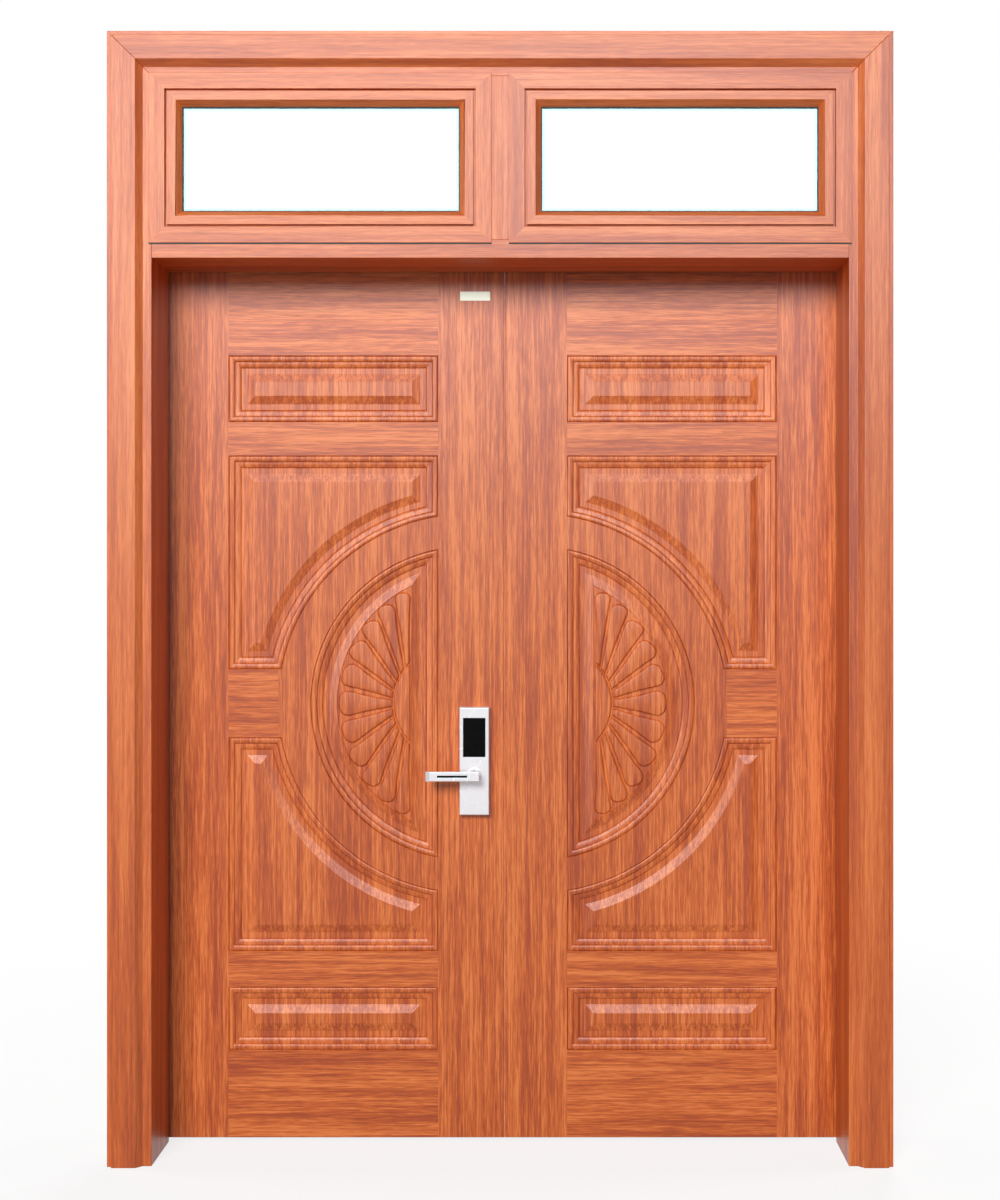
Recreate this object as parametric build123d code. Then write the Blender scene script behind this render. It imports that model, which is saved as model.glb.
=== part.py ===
from build123d import *
import math
import os

os.makedirs("parts", exist_ok=True)

# Double-leaf embossed steel door in a folded steel frame with two fixed lights above.
# Millimetres. +X to the right and -Y towards someone facing the outside, +Z up.
# The origin is on the floor, in the middle of the width and of the depth over the levers.

OVERRUN = 20.0

# Folded frame section, from the outer edge towards the opening
FRAME_W = 1800.0
SHEET = 1.5
LIP_W = 11.0
LIP_SETBACK = 8.0
LIP_RETURN = 14.0
FACE_W = 55.0
BEVEL_W = 15.0
BEVEL_DROP = 14.0
INNER_FLAT_W = 20.0
REVEAL_DEPTH = 180.0
STOP_W = 15.0
SEAL_GAP = 6.0
BACK_FLANGE_W = 40.0
BACK_RETURN = 15.0

# Wall anchor holes through the rebate of each jamb
ANCHOR_R = 5.25
ANCHOR_SHARES = (0.25, 0.75)

# Transom rail, mullion and the two fixed lights
CLEAR_H = 2082.0
RAIL_FACE_H = 34.0
MULLION_FACE_W = 39.0
MULLION_DEPTH = 80.0
LIGHT_H = 390.0
LIGHT_LAP = 7.0
LIGHT_CLEAR = 1.0
LIGHT_FLANGE_T = 2.0
LIGHT_DEPTH = 50.0
MEMBER_W = 37.0
GROOVE_W = 5.0
GROOVE_DEPTH = 8.0
BEAD_FLAT_W = 20.0
BEAD_BEVEL_W = 13.0
BEAD_DEPTH = 16.0
GASKET_T = 3.0
GASKET_LIP = 1.5
GASKET_EDGE = 2.0
GLASS_T = 6.0
GLASS_BITE = 15.0
GLAZE_FLANGE_T = 2.0

# Leaves and the gaps round them
LEAF_T = 50.0
FLOOR_GAP = 8.0
TOP_GAP = 5.0
HINGE_GAP = 6.0
MEET_GAP = 4.0
MEET_X = 5.0
SKIN = 1.2
SKIN_FACE = 11.0
SEAM = 0.4
CHANNEL_W = 30.0
CHANNEL_T = 1.5

# Rebate seals
SEAL_W = 8.0
SEAL_TOP_W = 4.0
SEAL_CLEAR = 0.3

# Embossed panels, from the bottom of the leaf up
PANEL_IN = 154.5
PANEL_W = 503.0
PANEL_BOTTOM_Z = 217.5
FOOT_PANEL_H = 151.0
FOOT_RAIL_H = 86.0
LOWER_PANEL_H = 513.0
LOCK_RAIL_H = 163.0
UPPER_PANEL_H = 513.0
HEAD_RAIL_H = 80.0
HEAD_PANEL_H = 160.0
ARC_X = 84.0
BIG_ARC_R = 453.0
MOON_R = 377.0

# Panel moulding, from the outline inwards
BEAD_W = 16.0
BEAD_D = 3.0
SLOPE_W = 14.0
FLOOR_D = 9.0
FLOOR_W = 13.5
FIELD_BEVEL_W = 20.0
FIELD_D = 3.0
FIELD_EMBED = 1.0

# Rosette of petals on the half-moon field
HUB_X = 131.0
HUB_R = 131.0
HUB_LIFT = 1.5
PETALS_EACH_SIDE = 5
ROOT_STEP_DEG = 8.6
TIP_STEP_DEG = 14.9
TIP_CLOSING_DEG = 0.6
PETAL_GAP = 4.0
PETAL_TIP_LEN = 15.0
PETAL_TIP_SHARES = ((1.0, 0.0), (0.55, 0.75), (0.0, 1.0))
PETAL_TIP_MARGIN = 1.0
PETAL_ROOT_HALF = 8.0
PETAL_ROOT_SINK = 4.0
PETAL_LIFT = 2.0

# Butt hinges
HINGE_SHARES = (0.12, 0.5, 0.88)
HINGE_H = 110.0
HINGE_PLATE_T = 2.5
HINGE_PLATE_W = 40.0
BARREL_R = 6.5
BARREL_SIDES = 16
BARREL_CLEAR = 0.5
PIN_R = 3.0
PIN_SIDES = 12
PIN_CLEAR = 0.05
EAR_T = 8.0
EAR_HALF = 4.7
EAR_GAP = 0.4

# Lock furniture
BACKSET = 70.0
ESC_W = 71.0
ESC_H = 257.0
ESC_Z = 784.0
ESC_T = 25.0
ESC_EDGE = 2.0
ESC_WALL = 3.0
BOSS_R = 16.5
BOSS_H = 6.0
READER_W = 53.0
READER_H = 93.0
READER_T = 1.5
READER_TOP = 25.5
READER_CLEAR = 0.2
COVER_W = 58.0
COVER_H = 52.0
COVER_TOP = 14.0
LEVER_Z = 880.0
LEVER_LEN = 127.0
LEVER_HEEL = 14.0
LEVER_H = 23.0
LEVER_T = 12.0
LEVER_REACH = 68.0
LEVER_EDGE = 1.5
NECK_R = 10.0
NECK_SIDES = 12
NECK_CLEAR = 0.3
NECK_END_GAP = 1.0
INLAY_LEN = 71.0
INLAY_H = 5.0
INLAY_T = 1.0
INLAY_HEEL = 29.0
SPINDLE = 8.0
SPINDLE_CLEAR = 0.1
SPINDLE_SINK = 20.0
SPINDLE_HOLE = 14.0
TURN_Z = 955.0
TURN_R = 14.0
TURN_SIDES = 8
TURN_GRIP_HALF = 12.0
TURN_BASE_T = 4.0
TURN_GRIP_T = 8.0
TURN_GRIP_H = 14.0
TURN_EDGE = 2.0
TURN_GAP = 0.5

# Mortise lock
FOREND_W = 24.0
FOREND_T = 3.0
FOREND_LOW = 95.0
FOREND_H = 240.0
BOLT_CLEAR = 0.4
CASE_DEPTH = 95.0
CASE_T = 21.0
CASE_WALL = 1.5
CASE_LOW = 80.0
CASE_H = 210.0
CASE_CLEAR = 0.5
FOLLOWER_HALF = 10.0
FOLLOWER_T = 8.0
LOBE_W = 8.0
LOBE_R = 20.0
LATCH_H = 22.0
LATCH_T = 16.0
LATCH_NOSE = 12.0
LATCH_THROW = 12.0
LATCH_HEAD_LEN = 20.0
TAIL_T = 3.0
TAIL_GAP = 1.0
TAIL_HALF = 12.0
LUG_GAP = 2.0
LUG_W = 4.0
LUG_LOW = 13.0
DEAD_H = 20.0
DEAD_T = 12.0
DEAD_LEN = 45.0
DEAD_THROW = 20.0
DEAD_TAIL_LEN = 45.0
DEAD_TAIL_UP = 22.0
CRANK_PIN_HALF = 1.8
CRANK_W = 7.0
CRANK_CLEAR = 1.0
TAILPIECE = 5.0
TAILPIECE_HOLE = 9.0
STRIKE_T = 2.0
STRIKE_H = 220.0
STRIKE_LOW = 85.0
STRIKE_CLEAR = 1.0
STRIKE_BOX_DEPTH = 32.0
STRIKE_BOX_WALL = 1.5
STRIKE_BOX_EDGE = 4.0

# Flush bolts in the passive leaf
ROD_HALF = 4.5
ROD_CLEAR = 0.3
ROD_INSET = 14.0
ROD_LEN = 300.0
BOLT_THROW = 20.0
SLIDE_H = 20.0
SLIDE_W = 8.0
SLIDE_SINK = 0.5
BOLT_PLATE_T = 2.5
BOLT_PLATE_W = 20.0
BOLT_PLATE_H = 160.0
KEEPER_W = 24.0
KEEPER_LEN = 60.0
KEEPER_T = 2.0

# Places worked out from the sizes above
JAMB_W = LIP_W + FACE_W + BEVEL_W + INNER_FLAT_W
CLEAR_HALF = FRAME_W / 2 - JAMB_W
REBATE_HALF = CLEAR_HALF + STOP_W
STOP_V = BEVEL_DROP + REVEAL_DEPTH
FRAME_D = STOP_V + SEAL_GAP + LEAF_T
FRONT = -(FRAME_D + LEVER_REACH) / 2
FLAT_Y = FRONT + BEVEL_DROP
STOP_Y = FRONT + STOP_V
LEAF_Y0 = STOP_Y + SEAL_GAP
LEAF_Y1 = LEAF_Y0 + LEAF_T
LEAF_MID = (LEAF_Y0 + LEAF_Y1) / 2
LEAF_Z0 = FLOOR_GAP
LEAF_Z1 = CLEAR_H + STOP_W - TOP_GAP
LEAF_EDGE = REBATE_HALF - HINGE_GAP
LEFT_SPAN = (-LEAF_EDGE, MEET_X - MEET_GAP / 2)
RIGHT_SPAN = (MEET_X + MEET_GAP / 2, LEAF_EDGE)
LIGHT_Z0 = CLEAR_H + RAIL_FACE_H
RAIL_TOP = LIGHT_Z0 + LIGHT_LAP
HEAD_SOFFIT = LIGHT_Z0 + LIGHT_H - LIGHT_LAP
FRAME_H = HEAD_SOFFIT + JAMB_W
LOCK_X = LEFT_SPAN[1] - BACKSET

BASE = (Align.CENTER, Align.CENTER, Align.MIN)
YZ = Plane.YZ
LEAF_PLANE = Plane(origin=(0, LEAF_MID, 0), z_dir=(0, 1, 0))


def block(x, y, z):
    """Box between two corners, given as (low, high) pairs."""
    place = Pos((x[0] + x[1]) / 2, (y[0] + y[1]) / 2, (z[0] + z[1]) / 2)
    return place * Box(x[1] - x[0], y[1] - y[0], z[1] - z[0])


def about(centre, half):
    """(low, high) pair round a centre."""
    return (centre - half, centre + half)


def rod_x(y, z, radius, x):
    return Pos(x[0], y, z) * Rot(Y=90) * Cylinder(radius, x[1] - x[0], align=BASE)


def rod_y(x, z, radius, y):
    return Pos(x, y[0], z) * Rot(X=-90) * Cylinder(radius, y[1] - y[0], align=BASE)


def folded(points, thickness):
    """Section of a bent sheet: its outer line, and the parallel on that line's left."""
    line = [Vector(*p) for p in points]
    runs = [(b - a).normalized() for a, b in zip(line, line[1:])]
    sides = [Vector(-run.Y, run.X) for run in runs]
    before = [sides[0]] + sides
    after = sides + [sides[-1]]
    inner = [
        p + (a + b) * (thickness / (1 + a.dot(b)))
        for p, a, b in zip(line, before, after)
    ]
    return make_face(Polyline(*line, *reversed(inner), close=True))


def outline(points):
    return make_face(Polyline(*points, close=True))


def mitred_bars(section, width, height):
    """Four bars round a rectangle that stands at the origin, mitred where they meet.
    The section's x runs inwards from the rectangle's edge and its y backwards."""
    bars = []
    for turn, length in ((0, width), (90, height), (180, width), (270, height)):
        reach = height if length == width else width
        start = Plane(origin=(length / 2, 0, 0), x_dir=(0, 0, 1), z_dir=(-1, 0, 0))
        bar = extrude(start * section, amount=length)
        for side in (-1, 1):
            cut = Plane(origin=(side * length / 2, 0, 0), z_dir=(side, 0, 1))
            bar = split(bar, bisect_by=cut, keep=Keep.BOTTOM)
        bars.append(Rot(Y=turn) * Pos(0, 0, -reach / 2) * bar)
    return bars


def mirrored(shape):
    """The same piece on the other side of the door's middle."""
    return mirror(shape, about=YZ)


def write(node, *shapes):
    solids = [solid for shape in shapes for solid in shape.solids()]
    whole = solids[0] if len(solids) == 1 else Compound(solids)
    export_step(whole, f"parts/{node}.step")


# Jambs and head: one folded section, mitred at the top corners
FRAME_SECTION = folded(
    [
        (0, LIP_SETBACK + LIP_RETURN),
        (0, LIP_SETBACK),
        (LIP_W, LIP_SETBACK),
        (LIP_W, 0),
        (LIP_W + FACE_W, 0),
        (LIP_W + FACE_W + BEVEL_W, BEVEL_DROP),
        (JAMB_W, BEVEL_DROP),
        (JAMB_W, STOP_V),
        (JAMB_W - STOP_W, STOP_V),
        (JAMB_W - STOP_W, FRAME_D),
        (JAMB_W - STOP_W - BACK_FLANGE_W, FRAME_D),
        (JAMB_W - STOP_W - BACK_FLANGE_W, FRAME_D - BACK_RETURN),
    ],
    SHEET,
)
LEFT_MITRE = Plane(origin=(-FRAME_W / 2, 0, FRAME_H), z_dir=(1, 0, 1))
RIGHT_MITRE = Plane(origin=(FRAME_W / 2, 0, FRAME_H), z_dir=(-1, 0, 1))


def left_jamb():
    foot = Plane(origin=(-FRAME_W / 2, FRONT, 0), x_dir=(1, 0, 0), z_dir=(0, 0, 1))
    jamb = extrude(foot * FRAME_SECTION, amount=FRAME_H)
    jamb = split(jamb, bisect_by=LEFT_MITRE, keep=Keep.BOTTOM)
    web = about(-REBATE_HALF, OVERRUN)
    for share in ANCHOR_SHARES:
        jamb -= rod_x(LEAF_MID, share * FRAME_H, ANCHOR_R, web)
    return jamb


def head():
    end = Plane(origin=(-FRAME_W / 2, FRONT, FRAME_H), x_dir=(0, 0, -1), z_dir=(1, 0, 0))
    bar = extrude(end * FRAME_SECTION, amount=FRAME_W)
    for mitre in (LEFT_MITRE, RIGHT_MITRE):
        bar = split(bar, bisect_by=mitre, keep=Keep.TOP)
    return bar


def bolt_rod(z, clearance=0):
    """Square rod of a flush bolt, or the hole that it slides in."""
    half = ROD_HALF + clearance
    return block(about(RIGHT_SPAN[0] + ROD_INSET, half), about(LEAF_MID, half), z)


# Transom rail: a stepped tube whose back part reaches into the jambs' rebates
def transom_rail():
    step_z = CLEAR_H + STOP_W
    tube = outline(
        [
            (FLAT_Y, CLEAR_H),
            (STOP_Y, CLEAR_H),
            (STOP_Y, step_z),
            (LEAF_Y1, step_z),
            (LEAF_Y1, RAIL_TOP),
            (FLAT_Y, RAIL_TOP),
        ]
    )
    ring = tube - offset(tube, -SHEET, kind=Kind.INTERSECTION)
    back_z = (CLEAR_H + RAIL_TOP) / 2
    behind = Pos((STOP_Y + LEAF_Y1) / 2, back_z) * Rectangle(SEAL_GAP + LEAF_T, RAIL_TOP - CLEAR_H)
    rail = extrude(YZ * ring, amount=CLEAR_HALF, both=True)
    rail += extrude(YZ * (ring & behind), amount=REBATE_HALF, both=True)
    return rail - bolt_rod(about(step_z, SHEET), STRIKE_CLEAR)


def mullion():
    half = MULLION_FACE_W / 2 + LIGHT_LAP
    tube = Pos(0, FLAT_Y + MULLION_DEPTH / 2) * Rectangle(2 * half, MULLION_DEPTH)
    ring = tube - offset(tube, -SHEET, kind=Kind.INTERSECTION)
    return extrude(Pos(0, 0, RAIL_TOP) * ring, amount=HEAD_SOFFIT - RAIL_TOP)


# Fixed lights: welded tube frame with a lapping flange, mitred beads, glass in a channel gasket
LIGHT_W = CLEAR_HALF + LIGHT_LAP - MULLION_FACE_W / 2
LIGHT_PLACE = Pos(-(MULLION_FACE_W + LIGHT_W) / 2, FLAT_Y - LIGHT_FLANGE_T, LIGHT_Z0 + LIGHT_H / 2)
BEAD_U = MEMBER_W + GROOVE_W
BEAD_IN_U = BEAD_U + BEAD_FLAT_W + BEAD_BEVEL_W
GLASS_U = BEAD_IN_U - GLASS_BITE
CHANNEL_U = GLASS_U - GASKET_EDGE
GLAZE_V = BEAD_DEPTH + 2 * GASKET_T + GLASS_T


def light_frame():
    tube_u = LIGHT_LAP + LIGHT_CLEAR
    back_v = LIGHT_FLANGE_T + LIGHT_DEPTH
    section = outline(
        [
            (0, 0),
            (MEMBER_W, 0),
            (MEMBER_W, GLAZE_V),
            (BEAD_IN_U, GLAZE_V),
            (BEAD_IN_U, GLAZE_V + GLAZE_FLANGE_T),
            (MEMBER_W, GLAZE_V + GLAZE_FLANGE_T),
            (MEMBER_W, back_v),
            (tube_u, back_v),
            (tube_u, LIGHT_FLANGE_T),
            (0, LIGHT_FLANGE_T),
        ]
    )
    first, *others = mitred_bars(section, LIGHT_W, LIGHT_H)
    return LIGHT_PLACE * first.fuse(*others).clean()


def glazing_beads():
    section = outline(
        [
            (BEAD_U, 0),
            (BEAD_U + BEAD_FLAT_W, 0),
            (BEAD_IN_U, BEAD_DEPTH),
            (CHANNEL_U, BEAD_DEPTH),
            (CHANNEL_U, GLAZE_V),
            (MEMBER_W, GLAZE_V),
            (MEMBER_W, GROOVE_DEPTH),
            (BEAD_U, GROOVE_DEPTH),
        ]
    )
    return [LIGHT_PLACE * bar for bar in mitred_bars(section, LIGHT_W, LIGHT_H)]


def light_slab(inset, v):
    """Plate of the light's outline, set in by an inset, between two depths."""
    return LIGHT_PLACE * block(
        about(0, LIGHT_W / 2 - inset), v, about(0, LIGHT_H / 2 - inset)
    )


def glass_pane():
    return light_slab(GLASS_U, about(BEAD_DEPTH + GASKET_T + GLASS_T / 2, GLASS_T / 2))


def glazing_gasket():
    channel = light_slab(CHANNEL_U, (BEAD_DEPTH, GLAZE_V)) - glass_pane()
    return channel - light_slab(BEAD_IN_U + GASKET_LIP, (-OVERRUN, LIGHT_DEPTH))


# Rebate seals: strips on the back of the stop, tapered towards the leaf
def seal_section():
    height = SEAL_GAP - SEAL_CLEAR
    return outline(
        [
            (-SEAL_W / 2, 0),
            (SEAL_W / 2, 0),
            (SEAL_TOP_W / 2, height),
            (-SEAL_TOP_W / 2, height),
        ]
    )


def jamb_seal():
    foot = Plane(origin=(-(CLEAR_HALF + SEAL_W / 2), STOP_Y, LEAF_Z0), z_dir=(0, 0, 1))
    return extrude(foot * seal_section(), amount=CLEAR_H - LEAF_Z0)


def rail_seal():
    middle = Plane(
        origin=(0, STOP_Y, CLEAR_H + SEAL_W / 2), x_dir=(0, 0, -1), z_dir=(1, 0, 0)
    )
    return extrude(middle * seal_section(), amount=CLEAR_HALF, both=True)


# Embossed relief of a leaf, cut from the front of a left-hand leaf
PANEL_HINGE_X = -(PANEL_IN + PANEL_W)
PANEL_MEET_X = -PANEL_IN
SLOPE_U = BEAD_W + SLOPE_W
FIELD_FOOT_U = SLOPE_U + FLOOR_W
FIELD_U = FIELD_FOOT_U + FIELD_BEVEL_W
FOOT_TOP = PANEL_BOTTOM_Z + FOOT_PANEL_H
LOWER_Z = FOOT_TOP + FOOT_RAIL_H
LOWER_TOP = LOWER_Z + LOWER_PANEL_H
UPPER_Z = LOWER_TOP + LOCK_RAIL_H
UPPER_TOP = UPPER_Z + UPPER_PANEL_H
HEAD_Z = UPPER_TOP + HEAD_RAIL_H
ARC_Z = (LOWER_TOP + UPPER_Z) / 2
ARC_CENTRE = Pos(-ARC_X, 0, ARC_Z)


def recess_section(reach):
    """What the press takes out beside one edge: eased rim, slope and floor."""
    return outline(
        [
            (0, -OVERRUN),
            (0, 0),
            (BEAD_W, BEAD_D),
            (SLOPE_U, FLOOR_D),
            (reach, FLOOR_D),
            (reach, -OVERRUN),
        ]
    )


def field_section(reach):
    """What stands up again beside one edge: bevel and raised field."""
    root = FLOOR_D + FIELD_EMBED
    return outline(
        [
            (FIELD_FOOT_U, root),
            (FIELD_FOOT_U, FLOOR_D),
            (FIELD_U, FIELD_D),
            (reach, FIELD_D),
            (reach, root),
        ]
    )


def along_edge(section, x, z, inwards):
    """Section run along a straight edge through a point."""
    across = Vector(*inwards)
    plane = Plane(origin=(x, 0, z), x_dir=across, z_dir=across.cross(Vector(0, 1, 0)))
    return extrude(plane * section, amount=PANEL_W + UPPER_PANEL_H, both=True)


def common(shapes):
    whole = shapes[0]
    for shape in shapes[1:]:
        whole = whole & shape
    return whole


def framed(section, z):
    """A section run along the four edges of a panel's rectangle."""
    return [
        along_edge(section, PANEL_HINGE_X, z[0], (1, 0, 0)),
        along_edge(section, PANEL_MEET_X, z[0], (-1, 0, 0)),
        along_edge(section, PANEL_MEET_X, z[0], (0, 0, 1)),
        along_edge(section, PANEL_MEET_X, z[1], (0, 0, -1)),
    ]


def square_panel(z):
    reach = PANEL_W
    return common(framed(recess_section(reach), z)) - common(framed(field_section(reach), z))


def arched_panel(z):
    """Rectangle with its corner next to the half-moon scooped out by the big arc."""
    reach = PANEL_W + UPPER_PANEL_H
    layers = []
    for section in (recess_section(reach), field_section(reach)):
        scoop = ARC_CENTRE * revolve(Pos(BIG_ARC_R, 0) * section, Axis.Y)
        layers.append(common(framed(section, z) + [scoop]))
    return layers[0] - layers[1]


def petal(step):
    """One raised petal: blunt tip at the half-moon's field edge, tapering to a narrow root.

    The petals fan out from the hub, and each is narrower than the last one nearer the middle.
    """
    root_turn = math.radians(step * ROOT_STEP_DEG)
    tip_turn = math.radians(step * (TIP_STEP_DEG - abs(step) * TIP_CLOSING_DEG))
    root_r = HUB_R - PETAL_ROOT_SINK
    tip_r = MOON_R - FIELD_U - PETAL_TIP_MARGIN
    share_of_turn = math.radians(TIP_STEP_DEG - 2 * abs(step) * TIP_CLOSING_DEG)
    tip_half = (share_of_turn * (tip_r - PETAL_TIP_LEN) - PETAL_GAP) / 2
    root = Vector(-HUB_X - root_r * math.cos(root_turn), 0, ARC_Z + root_r * math.sin(root_turn))
    tip = Vector(-ARC_X - tip_r * math.cos(tip_turn), 0, ARC_Z + tip_r * math.sin(tip_turn))
    length = (tip - root).length
    side = [
        (length - PETAL_TIP_LEN * (1 - forward), tip_half * aside)
        for aside, forward in PETAL_TIP_SHARES
    ]
    side.insert(0, (0, PETAL_ROOT_HALF))
    other_side = [(along, -aside) for along, aside in reversed(side[:-1])]
    shape = outline(side + other_side)
    top = FIELD_D - PETAL_LIFT
    plane = Plane(origin=(root.X, top, root.Z), x_dir=tip - root, z_dir=(0, 1, 0))
    return extrude(plane * shape, amount=PETAL_LIFT + FIELD_EMBED)


def half_moon():
    """Disc cut off by the panel's inner edge, with the hub and petals left standing on it."""
    layers = []
    for section in (recess_section(MOON_R), field_section(MOON_R)):
        disc = ARC_CENTRE * revolve(Pos(MOON_R, 0) * mirror(section, about=YZ), Axis.Y)
        layers.append(disc & along_edge(section, PANEL_MEET_X, ARC_Z, (-1, 0, 0)))
    chord_x = PANEL_MEET_X - FIELD_U
    hub = rod_y(-HUB_X, ARC_Z, HUB_R, (FIELD_D - HUB_LIFT, FIELD_D + FIELD_EMBED))
    hub &= block((chord_x - HUB_R, chord_x), (-OVERRUN, FLOOR_D), about(ARC_Z, HUB_R))
    steps = range(-PETALS_EACH_SIDE, PETALS_EACH_SIDE + 1)
    return layers[0] - layers[1] - hub - [petal(step) for step in steps]


RELIEF = [
    Pos(0, LEAF_Y0, 0) * shape
    for shape in (
        square_panel((PANEL_BOTTOM_Z, FOOT_TOP)),
        arched_panel((LOWER_Z, LOWER_TOP)),
        half_moon(),
        arched_panel((UPPER_Z, UPPER_TOP)),
        square_panel((HEAD_Z, HEAD_Z + HEAD_PANEL_H)),
    )
]


# Leaf shells: embossed pans whose folded edges meet halfway through the leaf
def front_pan(meet_x):
    """Outside pan of a left-hand leaf that ends at meet_x."""
    outer = block(
        (-LEAF_EDGE, meet_x), (LEAF_Y0, LEAF_MID - SEAM / 2), (LEAF_Z0, LEAF_Z1)
    )
    hollow = block(
        (-LEAF_EDGE + SKIN, meet_x - SKIN),
        (LEAF_Y0 + SKIN_FACE, LEAF_MID),
        (LEAF_Z0 + SKIN, LEAF_Z1 - SKIN),
    )
    return outer - hollow - RELIEF


CAVITY_Y = (LEAF_Y0 + SKIN_FACE, LEAF_Y1 - SKIN_FACE)
CAVITY_Z = (LEAF_Z0 + SKIN, LEAF_Z1 - SKIN)


def inner_frame(span):
    """Welded ring of channels inside a leaf's edges."""
    depth = CAVITY_Y[1] - CAVITY_Y[0]
    section = folded([(CHANNEL_W, depth), (0, depth), (0, 0), (CHANNEL_W, 0)], CHANNEL_T)
    width = span[1] - span[0] - 2 * SKIN
    height = CAVITY_Z[1] - CAVITY_Z[0]
    first, *others = mitred_bars(section, width, height)
    place = Pos((span[0] + span[1]) / 2, CAVITY_Y[0], (CAVITY_Z[0] + CAVITY_Z[1]) / 2)
    return place * first.fuse(*others).clean()


def core(span):
    edge = SKIN + CHANNEL_W
    return block(
        (span[0] + edge, span[1] - edge),
        CAVITY_Y,
        (LEAF_Z0 + edge, LEAF_Z1 - edge),
    )


# Butt hinges: the frame half's ears hold a riveted pin, the leaf half's barrel turns on it
HINGE_X = -(REBATE_HALF - HINGE_GAP / 2)
HINGE_Y = LEAF_Y1 + BARREL_R + BARREL_CLEAR
HINGE_ZS = [LEAF_Z0 + share * (LEAF_Z1 - LEAF_Z0) for share in HINGE_SHARES]
FRAME_PLATE_X = (-REBATE_HALF, -REBATE_HALF + HINGE_PLATE_T)
LEAF_PLATE_X = (-LEAF_EDGE - HINGE_PLATE_T, -LEAF_EDGE)


def hinge_plate(z, plate_x):
    return block(plate_x, (LEAF_Y1 - HINGE_PLATE_W, LEAF_Y1), about(z, HINGE_H / 2))


def hinge_bar(radius, sides, z):
    """Many-sided bar on the hinge axis that just fits inside a round."""
    shape = RegularPolygon(radius, sides)
    return extrude(Pos(HINGE_X, HINGE_Y, z[0]) * shape, amount=z[1] - z[0])


def pin_bore(z):
    """Bore whose flats clear the pin's corners as it turns."""
    corner_r = (PIN_R + PIN_CLEAR) / math.cos(math.pi / PIN_SIDES)
    return hinge_bar(corner_r, PIN_SIDES, z)


def frame_hinge_half(z):
    half = hinge_plate(z, FRAME_PLATE_X)
    for ear_z in about(z, (HINGE_H - EAR_T) / 2):
        height = about(ear_z, EAR_T / 2)
        half += block(FRAME_PLATE_X, (LEAF_Y1, HINGE_Y), height)
        half += block(about(HINGE_X, EAR_HALF), about(HINGE_Y, EAR_HALF), height)
    return half + hinge_bar(PIN_R, PIN_SIDES, about(z, HINGE_H / 2))


def leaf_hinge_half(z):
    barrel_z = about(z, HINGE_H / 2 - EAR_T - EAR_GAP)
    half = hinge_plate(z, LEAF_PLATE_X)
    half += block(LEAF_PLATE_X, (LEAF_Y1, HINGE_Y), barrel_z)
    half += hinge_bar(BARREL_R, BARREL_SIDES, barrel_z)
    return half - pin_bore(barrel_z)


# Lock furniture on both faces of the active leaf
ESC_SPAN = about(LOCK_X, ESC_W / 2)
ESC_TOP = ESC_Z + ESC_H
NECK_HOLE_R = (NECK_R + NECK_CLEAR) / math.cos(math.pi / NECK_SIDES)


def many_sided_y(x, z, radius, sides, y):
    """Many-sided bar along Y that just fits inside a round."""
    start = Plane(origin=(x, y[0], z), z_dir=(0, 1, 0))
    return extrude(start * RegularPolygon(radius, sides), amount=y[1] - y[0])


def escutcheon():
    """Hollow case of the lock on the outside, with the collar that carries the lever."""
    front = LEAF_Y0 - ESC_T
    case = block(ESC_SPAN, (front, LEAF_Y0), (ESC_Z, ESC_TOP))
    case = chamfer(case.faces().sort_by(Axis.Y)[0].edges(), ESC_EDGE)
    case += rod_y(LOCK_X, LEVER_Z, BOSS_R, (front - BOSS_H, front))
    case -= block(
        about(LOCK_X, ESC_W / 2 - ESC_WALL),
        (front + ESC_WALL, LEAF_Y0),
        (ESC_Z + ESC_WALL, ESC_TOP - ESC_WALL),
    )
    return case - many_sided_y(
        LOCK_X, LEVER_Z, NECK_HOLE_R, NECK_SIDES, (front - BOSS_H, LEAF_Y0)
    )


def reader_pane():
    front = LEAF_Y0 - ESC_T
    z = (ESC_TOP - READER_TOP - READER_H, ESC_TOP - READER_TOP)
    return block(about(LOCK_X, READER_W / 2), (front, front + READER_T), z)


def outside_escutcheon():
    pocket = offset(reader_pane().faces().sort_by(Axis.Y)[-1], READER_CLEAR, kind=Kind.INTERSECTION)
    return escutcheon() - extrude(pocket, amount=ESC_T, dir=(0, -1, 0))


def battery_cover():
    back = LEAF_Y1 + ESC_T
    z = (ESC_TOP - COVER_TOP - COVER_H, ESC_TOP - COVER_TOP)
    return block(about(LOCK_X, COVER_W / 2), (back - READER_T, back), z)


def inside_escutcheon():
    case = mirror(escutcheon(), about=LEAF_PLANE)
    pocket = offset(battery_cover().faces().sort_by(Axis.Y)[0], READER_CLEAR, kind=Kind.INTERSECTION)
    case -= extrude(pocket, amount=ESC_T, dir=(0, 1, 0))
    return case - tailpiece_hole((LEAF_Y1, LEAF_Y1 + ESC_T))


def lever():
    """Flat bar on a neck, with a square socket for the spindle."""
    front = LEAF_Y0 - LEVER_REACH
    x = (LOCK_X + LEVER_HEEL - LEVER_LEN, LOCK_X + LEVER_HEEL)
    bar = block(x, (front, front + LEVER_T), about(LEVER_Z, LEVER_H / 2))
    bar = chamfer(bar.faces().sort_by(Axis.Y)[0].edges(), LEVER_EDGE)
    bar += many_sided_y(
        LOCK_X, LEVER_Z, NECK_R, NECK_SIDES, (front + LEVER_T, LEAF_Y0 - NECK_END_GAP)
    )
    return bar - spindle(SPINDLE / 2 + SPINDLE_CLEAR)


def spindle(half=SPINDLE / 2):
    reach = LEAF_T / 2 + ESC_T + SPINDLE_SINK
    return block(about(LOCK_X, half), about(LEAF_MID, reach), about(LEVER_Z, half))


def tailpiece_hole(y):
    """Square hole for the thumbturn's tailpiece to turn in."""
    half = TAILPIECE_HOLE / 2
    return block(about(LOCK_X, half), y, about(TURN_Z, half))


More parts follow.
